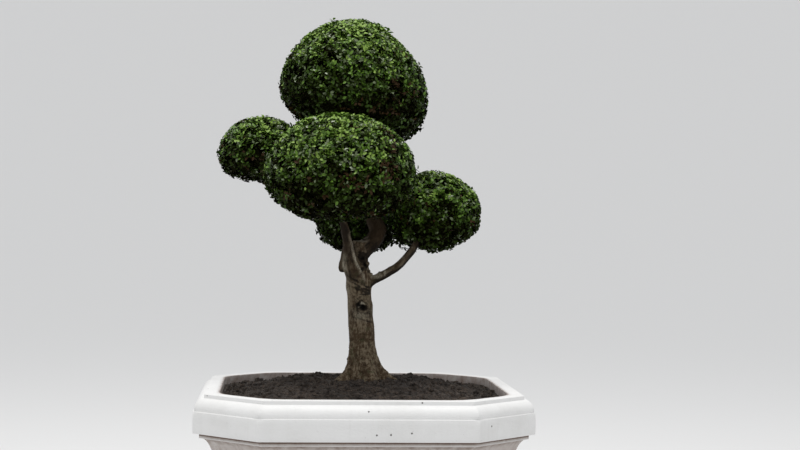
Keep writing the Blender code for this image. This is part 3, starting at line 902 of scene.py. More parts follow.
    def build(self) -> Piece:
        """The planter's piece.

        The plan is carried through the profile, and each point of the outer side is moved by the wear.

        Returns:
            The dressed piece.
        """
        rows, inside = self.profile()
        points = self.plan.rings(rows)
        count = points.shape[1]
        outward = unit(np.stack([points[..., 0], points[..., 1], np.zeros(points.shape[:2])], axis=-1))
        fade = np.ones(len(rows))
        fade[rows[:, 1] <= 0.0] = 0.0
        fade[inside:] = 0.0
        points = points + outward * self.moved(points)[..., None] * fade[:, None, None]
        skin = Skin()
        hubs = np.array([[0.0, 0.0, 0.0], [0.0, 0.0, self.floor]])
        faces = ring_faces(len(rows), count), *end_fans(len(rows), count)
        skin.add(np.vstack([points.reshape(-1, 3), hubs]), *faces)
        piece = skin.build("planter_masonry")
        grime_and_shading, (dirt_and_shade, stain_and_shade) = self.grime_and_shading, self.dirt_and_shading(rows, inside)
        ends = [grime_and_shading.underside, grime_and_shading.inside], [grime_and_shading.underside_stain, grime_and_shading.inside_stain]
        # dirt with painted shade, and drip marks with painted shade under the cap
        carry_attribute(piece, "shelter", np.concatenate([np.repeat(dirt_and_shade, count), ends[0]]))
        carry_attribute(piece, "under", np.concatenate([np.repeat(stain_and_shade, count), ends[1]]))
        piece.data.set_sharp_from_angle(angle=math.radians(self.sharp_angle))
        dress(piece, [self.paint.material()], ["planter"])
        return piece


@dataclass(frozen=True)
class SoilBed:
    """The soil in the planter: a low mound round the foot of the trunk, with crumbs lying on it."""

    planter: Planter = Planter()
    look: PottingSoil = PottingSoil()
    gap: float = 0.0012
    edge_top: float = 0.775
    top: float = 0.835
    pad: float = 0.21
    around: int = 400
    rings: int = 140
    innermost: float = 0.02
    ring_power: float = 0.9
    lump: float = 0.0080
    clod: float = 0.0085
    swell: float = 0.006
    crumbs: int = 4200
    crumb_gap: float = 0.012
    crumb_shape: float = 1.6
    crumb_scale: float = 0.0024
    smallest_crumb: float = 0.0016
    largest_crumb: float = 0.015

    def edge(self, angles: Array, half_width: float) -> Array:
        """How far the rounded wall is from the middle at each angle.

        The plan's ring at the half width is known at its own points, and the distance is a straight line
        between them over the angle.

        Args:
            angles: the angles from +X.
            half_width: the wall's half width.

        Returns:
            One length for each angle.
        """
        rows = np.array([[half_width, 0.0, self.planter.opening_corner]])
        ring = self.planter.plan.rings(rows)[0, :, :2]
        known = np.arctan2(ring[:, 1], ring[:, 0])
        order = np.argsort(known)
        return np.interp(angles, known[order], np.linalg.norm(ring, axis=1)[order], period=2 * math.pi)

    def height(self, reach: Array, edge: Array) -> Array:
        """The mound's height: a cosine from the pad by the trunk down to the wall."""
        share = np.clip((reach - self.pad) / (edge - self.pad), 0, 1)
        return self.edge_top + (self.top - self.edge_top) * (0.5 + 0.5 * np.cos(math.pi * share))

    def surface(self, reach: Array, angles: Array, edge: Array) -> Array:
        """Points of the soil's top: the mound's height, lumps, a slow swell and cracks between clods.

        Args:
            reach: distances from the middle.
            angles: the angles from +X.
            edge: how far the wall is at each angle.

        Returns:
            An array of points in the shape of reach. The relief is calmer by the wall and by the trunk.
        """
        flat = polar(reach, angles, 0.0)
        lumps = Grain(31).over(flat, 24.0, 4)
        clods = np.abs(Grain(33).over(flat, 48.0, 2))
        swell = Grain(32).over(flat, 6.0, 1)
        calm = np.clip((edge - reach) / 0.02, 0.25, 1) * np.clip((reach - 0.10) / 0.12, 0.6, 1)
        relief = self.lump * lumps - self.clod * clods + self.swell * swell
        flat[..., 2] = self.height(reach, edge) + relief * calm
        return flat

    def build(self) -> list[Piece]:
        """The soil's bed and its loose crumbs.

        Returns:
            The two dressed pieces.
        """
        angles = np.linspace(0, 2 * math.pi, self.around, endpoint=False)
        edge = self.edge(angles, self.planter.opening - self.gap)
        shares = np.linspace(1, self.innermost, self.rings) ** self.ring_power
        reach = edge[None] * shares[:, None]
        top = self.surface(reach, np.broadcast_to(angles, reach.shape), np.broadcast_to(edge, reach.shape))
        narrow = self.edge(angles, self.planter.cavity - self.gap)
        bottom = self.planter.floor + self.gap
        sides = np.array([
            polar(narrow, angles, bottom),
            polar(narrow, angles, self.planter.shoulder_bottom),
            polar(edge, angles, self.planter.shoulder_top),
        ])
        rows = len(sides) + self.rings
        points = np.concatenate([sides, top]).reshape(-1, 3)
        skin = Skin()
        faces = ring_faces(rows, self.around), *end_fans(rows, self.around)
        skin.add(np.vstack([points, [[0, 0, bottom], [0, 0, self.top]]]), *faces)
        bed = skin.build("soil_bed")
        finish = self.look.material()
        dress(bed, [finish], ["soil"])
        loose = self.loose_crumbs()
        dress(loose, [finish], ["soil"])
        return [bed, loose]

    def loose_crumbs(self) -> Piece:
        """Crumbs of soil: small uneven lumps of twenty faces, sunk a third into the bed.

        Each point of a lump is a corner of a twenty-sided solid, moved in or out by a fifth at random.

        Returns:
            The undressed piece.
        """
        rng = np.random.default_rng(77)
        golden = (1 + math.sqrt(5)) / 2
        corners = [(0, a, b * golden) for a in (-1, 1) for b in (-1, 1)]
        corners = unit(np.array([np.roll(c, turn) for turn in range(3) for c in corners], float))
        gaps = np.linalg.norm(corners[:, None] - corners[None], axis=-1)
        near = (gaps > 0.1) & (gaps < 1.2)
        faces = np.array([
            (i, j, k) for i in range(12) for j in range(i + 1, 12) for k in range(j + 1, 12)
            if near[i, j] and near[j, k] and near[i, k]
        ])
        a, b, c = corners[faces].transpose(1, 0, 2)
        inward = dots(np.cross(b - a, c - a), a + b + c) < 0
        faces[inward] = faces[inward][:, ::-1]
        angles = rng.uniform(-math.pi, math.pi, self.crumbs)
        edge = self.edge(angles, self.planter.opening - self.crumb_gap)
        reach = edge * np.sqrt(rng.uniform(0.03, 1.0, self.crumbs))
        centre = self.surface(reach, angles, edge)
        radius = rng.gamma(self.crumb_shape, self.crumb_scale, self.crumbs)
        radius = radius.clip(self.smallest_crumb, self.largest_crumb)
        uneven = rng.uniform(0.8, 1.2, (self.crumbs, 12, 1))
        stretch = rng.uniform(0.7, 1.2, (self.crumbs, 1, 3))
        points = centre[:, None] + corners[None] * uneven * stretch * radius[:, None, None]
        points[..., 2] += radius[:, None] / 3
        skin = Skin()
        every = faces[None] + 12 * np.arange(self.crumbs)[:, None, None]
        skin.add(points.reshape(-1, 3), every.reshape(-1, 3))
        return skin.build("soil_crumbs", smooth=False)


# Wood


@dataclass(frozen=True)
class Limb:
    """A tapering limb: a smooth path through stations of (x, y, z, radius), with a root in its parent."""

    name: str
    nodes: tuple
    stations: tuple
    buried: tuple = ()
    # the share of reddish bark, which also paints deep shade under the canopy
    red: float = 0.0

    def path(self, steps: int) -> Array:
        """Catmull-Rom points and radii through the stations, with so many steps between each two.

        Between stations b and c, with a before and d after them, the point at t is half of
        2b + (c - a) t + (2a - 5b + 4c - d) t squared + (3b - a - 3c + d) t cubed.

        Args:
            steps: how many steps lie between two stations.

        Returns:
            Rows of x, y, z and radius.
        """
        known = np.array((*self.buried, *self.stations))
        padded = np.vstack([2 * known[0] - known[1], known, 2 * known[-1] - known[-2]])
        a, b, c, d = padded[:-3], padded[1:-2], padded[2:-1], padded[3:]
        t = (np.arange(steps) / steps)[None, :, None]
        a, b, c, d = (rows[:, None] for rows in (a, b, c, d))
        bend, twist = 2 * a - 5 * b + 4 * c - d, 3 * b - a - 3 * c + d
        rows = 0.5 * (2 * b + (c - a) * t + bend * t**2 + twist * t**3)
        return np.vstack([rows.reshape(-1, 4), known[-1]])


TRUNK = Limb(
    "trunk",
    ("trunk",),
    (
        (0.012, 0.000, 0.8353, 0.066),
        (0.008, 0.000, 0.950, 0.056),
        (0.001, 0.000, 1.085, 0.0505),
        (-0.0075, 0.000, 1.176, 0.0505),
        (-0.014, 0.000, 1.241, 0.054),
        (-0.014, 0.004, 1.306, 0.046),
        (-0.008, 0.010, 1.355, 0.036),
        (-0.009, 0.011, 1.390, 0.031),
        (-0.019, 0.006, 1.434, 0.024),
    ),
    red=0.10,
)

BOUGHS = (
    Limb(
        "leader",
        ("leader_lower", "leader_upper"),
        (
            (-0.006, 0.012, 1.362, 0.027),
            (0.020, 0.020, 1.405, 0.034),
            (0.052, 0.031, 1.436, 0.036),
            (0.071, 0.045, 1.478, 0.036),
            (0.054, 0.066, 1.530, 0.034),
            (0.045, 0.080, 1.600, 0.030),
            (0.020, 0.100, 1.740, 0.027),
            (-0.010, 0.118, 1.862, 0.024),
        ),
        red=1.0,
    ),
    Limb(
        "front_bough",
        ("front_bough",),
        (
            (-0.022, -0.012, 1.235, 0.034),
            (-0.038, -0.024, 1.306, 0.039),
            (-0.0525, -0.040, 1.355, 0.0315),
            (-0.070, -0.084, 1.437, 0.0195),
            (-0.080, -0.115, 1.480, 0.0175),
            (-0.088, -0.134, 1.508, 0.0165),
        ),
        buried=((-0.004, -0.004, 1.120, 0.040), (-0.012, -0.008, 1.180, 0.041)),
        red=0.68,
    ),
    Limb(
        "right_bough",
        ("right_bough_lower", "right_bough_upper"),
        (
            (0.000, 0.000, 1.238, 0.026),
            (0.044, -0.003, 1.261, 0.0185),
            (0.087, -0.010, 1.283, 0.0182),
            (0.122, -0.013, 1.304, 0.0176),
            (0.158, -0.014, 1.328, 0.0178),
            (0.208, -0.006, 1.384, 0.0172),
            (0.226, -0.001, 1.410, 0.0164),
        ),
        buried=((-0.016, 0.002, 1.196, 0.030),),
        red=0.75,
    ),
    Limb(
        "left_bough",
        ("left_bough",),
        (
            (0.042, 0.083, 1.598, 0.022),
            (-0.020, 0.112, 1.625, 0.0205),
            (-0.120, 0.135, 1.655, 0.0185),
            (-0.250, 0.155, 1.675, 0.016),
            (-0.345, 0.165, 1.699, 0.0145),
        ),
        red=0.3,
    ),
    Limb(
        "back_bough",
        ("back_bough",),
        (
            (-0.008, 0.008, 1.318, 0.021),
            (-0.006, 0.060, 1.330, 0.019),
            (-0.008, 0.140, 1.346, 0.0175),
            (-0.010, 0.220, 1.364, 0.016),
            (-0.011, 0.270, 1.383, 0.0145),
        ),
        red=0.2,
    ),
    Limb(
        "old_stub",
        ("old_stub",),
        (
            (-0.0800, 0.004, 1.352, 0.0150),
            (-0.0850, 0.006, 1.330, 0.0160),
            (-0.0870, 0.006, 1.312, 0.0145),
            (-0.0860, 0.006, 1.298, 0.0090),
        ),
        buried=((-0.068, -0.026, 1.425, 0.0110), (-0.0760, -0.006, 1.385, 0.0135)),
        red=0.95,
    ),
)

LIMBS = (TRUNK, *BOUGHS)


def batches(count: int) -> Iterator[slice]:
    """Slices of so many rows at a time, because a table of every distance at once would be too large."""
    for start in range(0, count, BATCH):
        yield slice(start, start + BATCH)


def axis_gaps(points: Array, rows: Array) -> Array:
    """Each point's distance to every axis point of (x, y, z, radius), less the radius there."""
    return np.linalg.norm(points[:, None] - rows[None, :, :3], axis=-1) - rows[None, :, 3]


# Spurs left by shed twigs, the sawn end and the trunk's widening on its left, as roots and tips with radii
SPURS = (
    ((0.033, -0.004, 1.270, 0.009), (0.040, -0.006, 1.293, 0.0042)),
    ((0.074, -0.010, 1.284, 0.011), (0.080, -0.013, 1.300, 0.006)),
    ((0.116, -0.013, 1.308, 0.010), (0.122, -0.015, 1.322, 0.006)),
    ((0.020, -0.030, 1.335, 0.014), (0.026, -0.036, 1.330, 0.008)),
    ((0.004, -0.022, 1.352, 0.013), (0.008, -0.030, 1.350, 0.007)),
    ((-0.012, 0.004, 1.385, 0.0330), (-0.009, 0.004, 1.431, 0.0300)),
    ((0.026, -0.002, 1.302, 0.012), (0.034, -0.006, 1.308, 0.006)),
    ((-0.0150, 0.0, 0.965, 0.0355), (-0.0270, 0.0, 1.215, 0.0370)),
)


@dataclass(frozen=True)
class Mass:
    """A clipped mass of foliage: a dome on centre that rises and drops by different amounts, rolled about Y.

    The shade is taken off the light painted into its leaves' tones, so below nothing it adds some. The fall
    says how much faster that painted light fades from its top down. A lobe is a direction, a share of the
    reach and how sharp it is.
    """

    name: str
    centre: tuple
    half_width: float
    half_depth: float
    rise: float
    drop: float
    roll: float
    carrier: str
    seed: int
    shade: float = 0.0
    lobes: tuple = ()
    fall: float = 0.0

    POWER_ABOVE = 2.0
    POWER_BELOW = 2.3
    LUMP_HEIGHT = 0.014
    LUMP_WAVES = 4
    LUMP_FREQUENCY = 5.5
    BESIDE = 0.02
    STEM_KNEE = 0.06
    CROTCH_DROP = 0.35

    def crotch(self) -> tuple:
        """Where the stem forks, below the centre."""
        x, y, z = self.centre
        return (x, y, z - self.CROTCH_DROP * self.drop)

    def reach(self, ways: Array) -> Array:
        """How far the outline is from the centre along each way.

        The way is turned back by the roll. The reach is 1 over the p-norm of the level share and the upright
        share, with p 2.0 above the centre and 2.3 below, less a little where four sine waves are low. A lobe
        adds its share times e to the power of sharpness times (cosine of the angle from its way - 1).

        Args:
            ways: unit vectors.

        Returns:
            One length for each way.
        """
        turn = np.array(Matrix.Rotation(math.radians(self.roll), 3, "Y"))
        x, y, z = (ways @ turn).T
        upright = np.where(z > 0, self.rise, self.drop)
        power = np.where(z > 0, self.POWER_ABOVE, self.POWER_BELOW)
        level = np.hypot(x / self.half_width, y / self.half_depth)
        smooth = (level**power + np.abs(z / upright) ** power) ** (-1 / power)
        phases = random.Random(self.seed)
        lumps = np.zeros(len(ways))
        for _ in range(self.LUMP_WAVES):
            wave = np.array([phases.uniform(-1, 1) for _ in range(3)]) * self.LUMP_FREQUENCY
            lumps += np.sin(ways @ wave + phases.uniform(0, 2 * math.pi)) / self.LUMP_WAVES
        grown = np.ones(len(ways))
        for way, share, sharpness in self.lobes:
            grown += share * np.exp(sharpness * (ways @ unit(np.array(way)) - 1))
        return smooth * grown * (1 - self.LUMP_HEIGHT + self.LUMP_HEIGHT * lumps)

    def skin(self, ways: Array, depth: Union[float, Array]) -> Array:
        """The point so deep under the outline along each way."""
        return np.array(self.centre) + ways * (self.reach(ways) - depth)[:, None]

    def normals(self, ways: Array) -> Array:
        """The outline's outward normal along each way, square to two short steps beside it.

        Args:
            ways: unit vectors.

        Returns:
            One unit vector for each way.
        """
        here = self.skin(ways, 0.0)
        ends = [self.skin(unit(ways + aside * self.BESIDE), 0.0) - here for aside in across(ways)]
        out = unit(np.cross(*ends))
        return out * np.sign(dots(out, ways))[:, None]


MASSES = (
    Mass(
        "top_dome", (-0.036, 0.128, 2.092), 0.334, 0.325, 0.327, 0.221, 11.0, "leader", 11,
        lobes=(
            ((0.70, -0.10, 0.70), -0.078, 6.0),
            ((0.80, 0.0, -0.55), 0.045, 12.0),
            ((-0.95, -0.1, 0.20), 0.018, 3.0),
            ((0.95, 0.0, 0.30), -0.028, 40.0),
            ((0.29, 0.0, 0.96), 0.034, 40.0),
        ),
        fall=0.30,
    ),
    Mass(
        "front_dome", (-0.114, -0.212, 1.698), 0.329, 0.270, 0.283, 0.190, -3.0, "front_bough", 23,
        lobes=(((-0.90, 0.0, -0.43), -0.095, 12.0), ((0.96, 0.0, 0.26), 0.032, 10.0)),
    ),
    Mass(
        "left_ball", (-0.438, 0.174, 1.809), 0.200, 0.190, 0.174, 0.121, -2.0, "left_bough", 37, 0.03,
        lobes=(((-0.80, 0.0, 0.50), 0.022, 2.0), ((0.15, 0.0, -0.99), 0.070, 10.0)),
    ),
    Mass(
        "right_ball", (0.318, 0.066, 1.578), 0.209, 0.190, 0.169, 0.194, -4.0, "right_bough", 41, -0.08,
        lobes=(
            ((0.76, 0.0, 0.65), -0.065, 14.0),
            ((0.0, 0.0, 1.0), 0.030, 14.0),
            ((1.0, 0.0, -0.15), 0.020, 14.0),
            ((0.57, 0.0, -0.82), -0.030, 20.0),
            ((-0.77, 0.0, -0.64), 0.070, 20.0),
        ),
        fall=0.18,
    ),
    Mass(
        "back_ball", (-0.012, 0.342, 1.517), 0.187, 0.170, 0.210, 0.141, 0.0, "back_bough", 53, 0.24,
        lobes=(((0.85, 0.0, -0.53), 0.120, 8.0), ((0.25, 0.0, -0.97), 0.090, 10.0)),
    ),
)


@dataclass(frozen=True)
class Hollow:
    """A hollow in the bark, painted dark inside as shade, with a raised lip round it."""

    place: tuple
    width: float
    depth: float
    lip: float = 0.0
    HOLE_DEPTH = 0.0045
    KNOT_LIP = 0.004


@dataclass(frozen=True)
class Crease:
    """A wrinkle across the trunk's front: its height at the trunk's middle, its slant and its depth."""

    level: float
    slant: float
    depth: float


@dataclass(frozen=True)
class Patch:
    """An oval patch of the bark: its middle, its reach along x, y and z, and how strong it is."""

    place: tuple
    reach: tuple
    share: float

    def over(self, points: Array, mottle: Array) -> Array:
        """The mottled share at each point, over e to the power of the fourth power of the distance."""
        return self.share * mottle * np.exp(-((((points - self.place) / self.reach) ** 2).sum(axis=1) ** 2))


class BarkRelief:
    """The bark over the wood's whole surface: its height in metres, and the shares that its colours read,
    painted shade and highlights among them.
    """

    def __init__(self, wood: "Wood", points: Array, normals: Array) -> None:
        """Finds the limbs that each point lies on, and works out the noises that run along them.

        A limb's weight is e to the power of (least distance - its distance) / melt, over the sum of these, so
        the limbs melt into each other where they join. They meet where the ways out of their axes part.

        Args:
            wood: the sizes of the relief.
            points: points on the wood's surface.
            normals: the surface's normals there.
        """
        self.wood, self.points, self.normals = wood, points, normals
        gaps, axes = wood.nearest(points)
        every = np.arange(len(points))
        order = np.argsort(gaps, axis=1)
        axis, other = axes[order[:, 0], every], axes[order[:, 1], every]
        self.second = np.abs(gaps[every, order[:, 1]])
        self.out = points - axis[:, :3]
        self.meet = ramp(0.75 - dots(unit(self.out), unit(points - other[:, :3])), 0.5)
        weights = np.exp((gaps.min(axis=1, keepdims=True) - gaps) / wood.melt)
        self.weights = weights / weights.sum(axis=1, keepdims=True)
        self.size = np.clip(axis[:, 3] / wood.full_radius, 0.25, 1.1) ** 0.8
        self.lumps = Grain(41).layered(points * 27.0, 2)
        self.flutes = Grain(45).layered(points * 9.0 + self.out * 34.0, 2)
        self.furrows = Grain(42).layered(points * 22.0 + self.out * 105.0, 3)
        self.seam = wood.seam_gap(points) * (1 + 0.30 * self.lumps)
        self.groove, self.pale, self.hole = np.zeros((3, len(points)))
        # reddish bark with painted deep shade, by limb
        self.red = self.weights @ np.array([limb.red for limb in LIMBS])

    def weight(self, name: str) -> Array:
        """The weight of the named limb at each point."""
        return self.weights[:, [limb.name for limb in LIMBS].index(name)]

    def swell(self) -> None:
        """Lumps a few centimetres wide, flutes and ridges drawn out along the limb, and warts.

        All shrink with the limb and are calm on the trunk's left edge. A round filling then rises with the
        square of the nearness of the second limb where two limbs meet.
        """
        wood, (x, _, z) = self.wood, self.points.T
        warts = np.clip(Grain(46).layered(self.points * 52.0, 2) - 0.62, 0, 0.5)
        height = wood.lump * self.lumps + wood.flute * self.flutes + wood.ridge * self.furrows
        calm = ramp(-x - 0.036, 0.015) * ramp(z - 1.02, 0.05) * ramp(1.30 - z, 0.05)
        self.height = self.size * (height + wood.wart * warts) * (1 - 0.75 * calm)
        self.height += wood.crotch / 4 * np.clip(1 - self.second / wood.crotch, 0, 1) ** 2 * self.meet
        # dark furrows with painted shade, low in the flutes and between the lumps
        self.groove = np.clip(-self.furrows * 0.50 - self.flutes * 0.22 - self.lumps * 0.14 - 0.06, 0, 1)

    def fold(self) -> None:
        """Broken wrinkles across the trunk's front, the rubbed ridge down it, and painted shade in the
        wrinkles and the joins.

        A wrinkle follows its level less its slant times x, wavers a little, and is a bell across its width.
        """
        wood, (x, y, z) = self.wood, self.points.T
        front = ramp(-y, 0.03) * np.clip((x + 0.050) / 0.03, 0.15, 1) * (np.abs(z - 1.2) < 0.2)
        broken = np.clip(0.80 + Grain(47).at(self.points * 36.0), 0, 1)
        waver = 0.006 * Grain(44).at(self.points * 26.0)
        wrinkles = np.zeros(len(x))
        for crease in wood.creases:
            line = crease.level - crease.slant * (x + 0.014) + waver
            wrinkles += crease.depth * bell(z - line, wood.crease_width) * broken
        self.height -= wrinkles * front
        self.height += wood.seam_height * bell(self.seam, wood.seam_width)
        # painted shade in the wrinkles and in the joins between limbs
        joins = 0.7 * np.clip(1 - self.second / 0.009, 0, 1) * self.meet
        self.groove += ramp(wrinkles * front, 0.0026) + joins

    def shade(self) -> None:
        """Painted shade under the boughs and in the shaded patches, and paler bark in the rubbed ones."""
        mottle = np.clip(0.76 + 0.9 * Grain(48).layered(self.points * 80.0, 2), 0.08, 1.3)
        # painted shade on the undersides of the boughs
        self.groove += 1.2 * np.clip(-self.normals[:, 2] + 0.10, 0, 0.8) * (1 - self.weights[:, 0])
        for patch in self.wood.shaded:
            self.groove += patch.over(self.points, mottle)
        for patch in self.wood.rubbed:
            self.pale += patch.over(self.points, mottle)

    def pit(self) -> None:
        """Hollows with a raised lip, painted dark inside as shade. The knot also has rings round it, with
        painted shade in their troughs, and its lip has a painted highlight above and left.
        """
        for hollow in self.wood.hollows:
            off = (self.points - np.array(hollow.place)) * np.array([0.85, 0.5, 1.0])
            away = np.linalg.norm(off, axis=1) * (1 + 0.30 * self.lumps + 0.25 * self.furrows) / hollow.width
            over = bell(away - 1.42, 0.30)
            self.height += hollow.lip * over - hollow.depth * np.exp(-(away**4))
            # painted shade in and round each hollow, near-black inside the deeper ones
            self.groove += 0.8 * np.exp(-((away / 1.35) ** 4)) + 0.40 * bell(away, 2.0)
            self.hole = np.maximum(self.hole, ramp(1.12 - away, 0.25) * (hollow.depth > hollow.HOLE_DEPTH))
            if hollow.lip > hollow.KNOT_LIP:
                rings = np.sin(away * 5.2) * bell(away - 2.6, 0.9) * ramp(-self.points[:, 1], 0.03)
                self.height += self.wood.knot_ring * rings
                # painted shade in the troughs of the rings
                self.groove += np.clip(-rings * 0.7, 0, 1)
                # a painted highlight on the knot's lip above and left
                lip = over * ramp(off[:, 2] + 0.003, 0.006) * ramp(0.007 - off[:, 0], 0.006)
                self.pale += 1.6 * lip
                self.groove -= 0.9 * lip

    def rub(self) -> None:
        """Paler and less red bark on the rubbed ridge and the sawn end, and a painted highlight, paler and
        less red, down the trunk's left edge.

        A worn band round the trunk's front is paler too.
        """
        wood, (x, y, z) = self.wood, self.points.T
        saw = np.linalg.norm(self.points - np.array(wood.cut), axis=1)
        sawn = ramp(0.044 - saw, 0.010) * np.clip(self.normals[:, 2] - 0.2, 0, 1)
        ridge = bell(self.seam, wood.seam_pale) * np.clip(0.72 + 0.7 * self.furrows, 0.15, 1.1)
        ridge *= np.clip((1.475 - z) / 0.07, 0.30, 1)
        level, width = wood.worn_band
        band = bell(z - level, width) * ramp(-y, 0.02)
        self.pale += 0.55 * band * np.clip(0.8 + 0.6 * self.lumps, 0.2, 1.2)
        self.pale += 1.20 * ridge + 0.65 * sawn
        # a painted highlight down the trunk's left edge
        left = ramp(np.interp(z, (1.26, 1.32), (-0.049, -0.064)) - x, 0.008)
        left *= ramp(z - 1.06, 0.1) * ramp(1.385 - z, 0.03)
        left *= 1 - np.clip(1.6 * self.weight("old_stub") - 0.6, 0, 1)
        self.pale += np.interp(z, (1.27, 1.31), (0.55, 0.95)) * left * (0.6 + 0.6 * self.lumps)
        self.red = self.red * (1 - 0.9 * ridge) * (1 - 0.7 * sawn) * (1 - left)
        self.ridge = ridge

    def streak(self) -> None:
        """Pale and dark streaks along the right bough, with painted shade on its underside. The ridge stays
        light.
        """
        bough = self.weight("right_bough")
        streaks = bough * Grain(49).layered(self.points * 34.0 + self.out * 60.0, 2)
        self.red = self.red * (1 - 0.55 * np.clip(streaks, 0, 1))
        self.pale += 0.30 * np.clip(streaks - 0.15, 0, 1)
        self.groove += 0.75 * np.clip(-streaks - 0.05, 0, 1)
        # painted shade on the right bough's underside
        self.groove += 0.6 * bough * np.clip(-self.normals[:, 2] + 0.1, 0, 1)
        self.groove = self.groove * (1 - 0.8 * self.ridge)

    def work(self) -> dict[str, Array]:
        """Adds every kind of relief and colour in the order in which they lie on each other.

        Returns:
            The groove, pale, red and hole shares from 0 to 1 by name.
        """
        for step in (self.swell, self.fold, self.shade, self.pit, self.rub, self.streak):
            step()
        return {name: np.clip(getattr(self, name), 0, 1) for name in ("groove", "pale", "red", "hole")}


@dataclass(frozen=True)
class Wood:
    """The trunk and the boughs in one skin, with bark relief, root flare, a knot hole and an old saw cut."""

    bark: TreeBark = TreeBark()
    voxel: float = 0.0030
    evening: int = 8
    sides: int = 40
    steps: int = 8
    fine_steps: int = 12
    foot_rings: int = 30
    knee_share: float = 0.84
    fork_share: float = 0.66
    flare_reach: float = 0.085
    flare_height: float = 0.045
    flare_roots: int = 5
    flare_turn: float = 0.6
    flare_skew: float = 0.7
    flare_between: float = 0.22
    flare_sharpness: float = 1.6
    soil_top: float = 0.835
    sunk: float = 0.012
    crotch: float = 0.026
    full_radius: float = 0.050
    lump: float = 0.0030
    flute: float = 0.0034
    ridge: float = 0.0017
    wart: float = 0.0060
    hollows: tuple = (
        Hollow((0.0066, -0.050, 1.147), 0.0120, 0.014, 0.0050),
        Hollow((-0.0150, -0.049, 1.158), 0.0075, 0.005, 0.0020),
        Hollow((-0.0010, -0.030, 1.360), 0.0090, 0.007, 0.0015),
        Hollow((0.0130, -0.030, 1.330), 0.0070, 0.005, 0.0015),
        Hollow((-0.0040, -0.040, 1.312), 0.0060, 0.004),
    )
    cut: tuple = (-0.009, 0.004, 1.432)
    seam: tuple = (
        (-0.0636, -0.1180, 1.4700),
        (-0.0490, -0.0860, 1.4200),
        (-0.0400, -0.0744, 1.3780),
        (-0.0252, -0.0612, 1.3342),
        (-0.0170, -0.0555, 1.3180),
        (-0.0085, -0.0480, 1.3000),
        (0.0130, -0.0440, 1.2655),
    )
    seam_height: float = 0.0038
    seam_width: float = 0.0075
    seam_pale: float = 0.0068
    creases: tuple = (
        Crease(1.256, 0.46, 0.0040),
        Crease(1.241, 0.40, 0.0036),
        Crease(1.224, 0.28, 0.0026),
        Crease(1.207, 0.05, 0.0018),
        Crease(1.100, 0.25, 0.0016),
    )
    crease_width: float = 0.0042
    knot_ring: float = 0.0011
    # patches of painted shade on the wood under the canopy and the limbs
    shaded: tuple = (
        Patch((0.004, -0.012, 1.366), (0.025, 0.050, 0.040), 1.15),
        Patch((0.036, 0.000, 1.424), (0.027, 0.050, 0.030), 0.58),
        Patch((-0.014, -0.050, 1.245), (0.024, 0.045, 0.038), 0.58),
        Patch((0.010, -0.050, 1.213), (0.034, 0.045, 0.046), 0.38),
        Patch((0.020, -0.030, 1.308), (0.021, 0.045, 0.026), 0.60),
    )
    rubbed: tuple = (Patch((0.082, -0.025, 1.290), (0.042, 0.045, 0.024), 0.62),)
    worn_band: tuple = (1.113, 0.022)
    melt: float = 0.007

    def flare(self, heights: Array, angles: Array) -> Array:
        """How far the foot spreads: it fades with height, and five roots stand out by a cosine's power.

        Args:
            heights: the heights of the rings.
            angles: the angles round the trunk.

        Returns:
            A length for each height and angle.
        """
        turn = self.flare_roots * angles + self.flare_turn + self.flare_skew * np.sin(angles)
        root = 0.5 + 0.5 * np.cos(turn)
        spread = self.flare_between + (1 - self.flare_between) * root**self.flare_sharpness
        rise = np.maximum(heights - self.soil_top, -self.sunk / 2) / self.flare_height
        return self.flare_reach * np.exp(-rise) * spread

    def add_tube(self, skin: Skin, rows: Array, level: bool = False) -> None:
        """Adds a closed tube along rows of (x, y, z, radius) to a skin.

        Each ring is centre + radius * (side cos a + across sin a). The side direction is carried from ring to
        ring without twist. Level rings lie flat and spread by the flare.

        Args:
            skin: the skin that takes the tube.
            rows: the path and its radii.
            level: whether the rings lie flat, as on the trunk.
        """
        centres, radii = rows[:, :3], rows[:, 3]
        level_tangents = np.broadcast_to([0.0, 0.0, 1.0], centres.shape)
        tangents = level_tangents if level else unit(np.gradient(centres, axis=0))
        side = np.array([1.0, 0.0, 0.0]) if abs(tangents[0][2]) > 0.5 else np.array([0.0, 0.0, 1.0])
        sides = []
        for tangent in tangents:
            side = side - tangent * (side @ tangent)
            side = side / np.linalg.norm(side)
            sides.append(side)
        first = np.array(sides)
        second = np.cross(tangents, first)
        angles = np.linspace(0, 2 * math.pi, self.sides, endpoint=False)
        reach = np.broadcast_to(radii[:, None], (len(rows), self.sides))
        if level:
            reach = reach + self.flare(centres[:, 2:3], angles[None])
        points = centres[:, None] + circles(first, second, angles) * reach[..., None]
        points = np.vstack([points.reshape(-1, 3), centres[:1], centres[-1:]])
        skin.add(points, ring_faces(len(rows), self.sides), *end_fans(len(rows), self.sides))

    def grown(self, limb: Limb, steps: int) -> Array:
        """A limb's path, carried on as a stem to the fork inside the mass that it bears.

        Args:
            limb: the limb.
            steps: how many steps lie between two stations.

        Returns:
            Rows of x, y, z and radius.
        """
        rows = limb.path(steps)
        mass = next((mass for mass in MASSES if mass.carrier == limb.name), None)
        if mass is None:
            return rows
        tip, way, radius = rows[-1, :3], unit(rows[-1, :3] - rows[-2, :3]), rows[-1, 3]
        knee = (*(tip + way * mass.STEM_KNEE), radius * self.knee_share)
        fork = (*mass.crotch(), radius * self.fork_share)
        stem = Limb("stem", (), (tuple(rows[-1]), knee, fork), (tuple(rows[-steps]),))
        return np.vstack([rows, stem.path(steps)[steps + 1 :]])

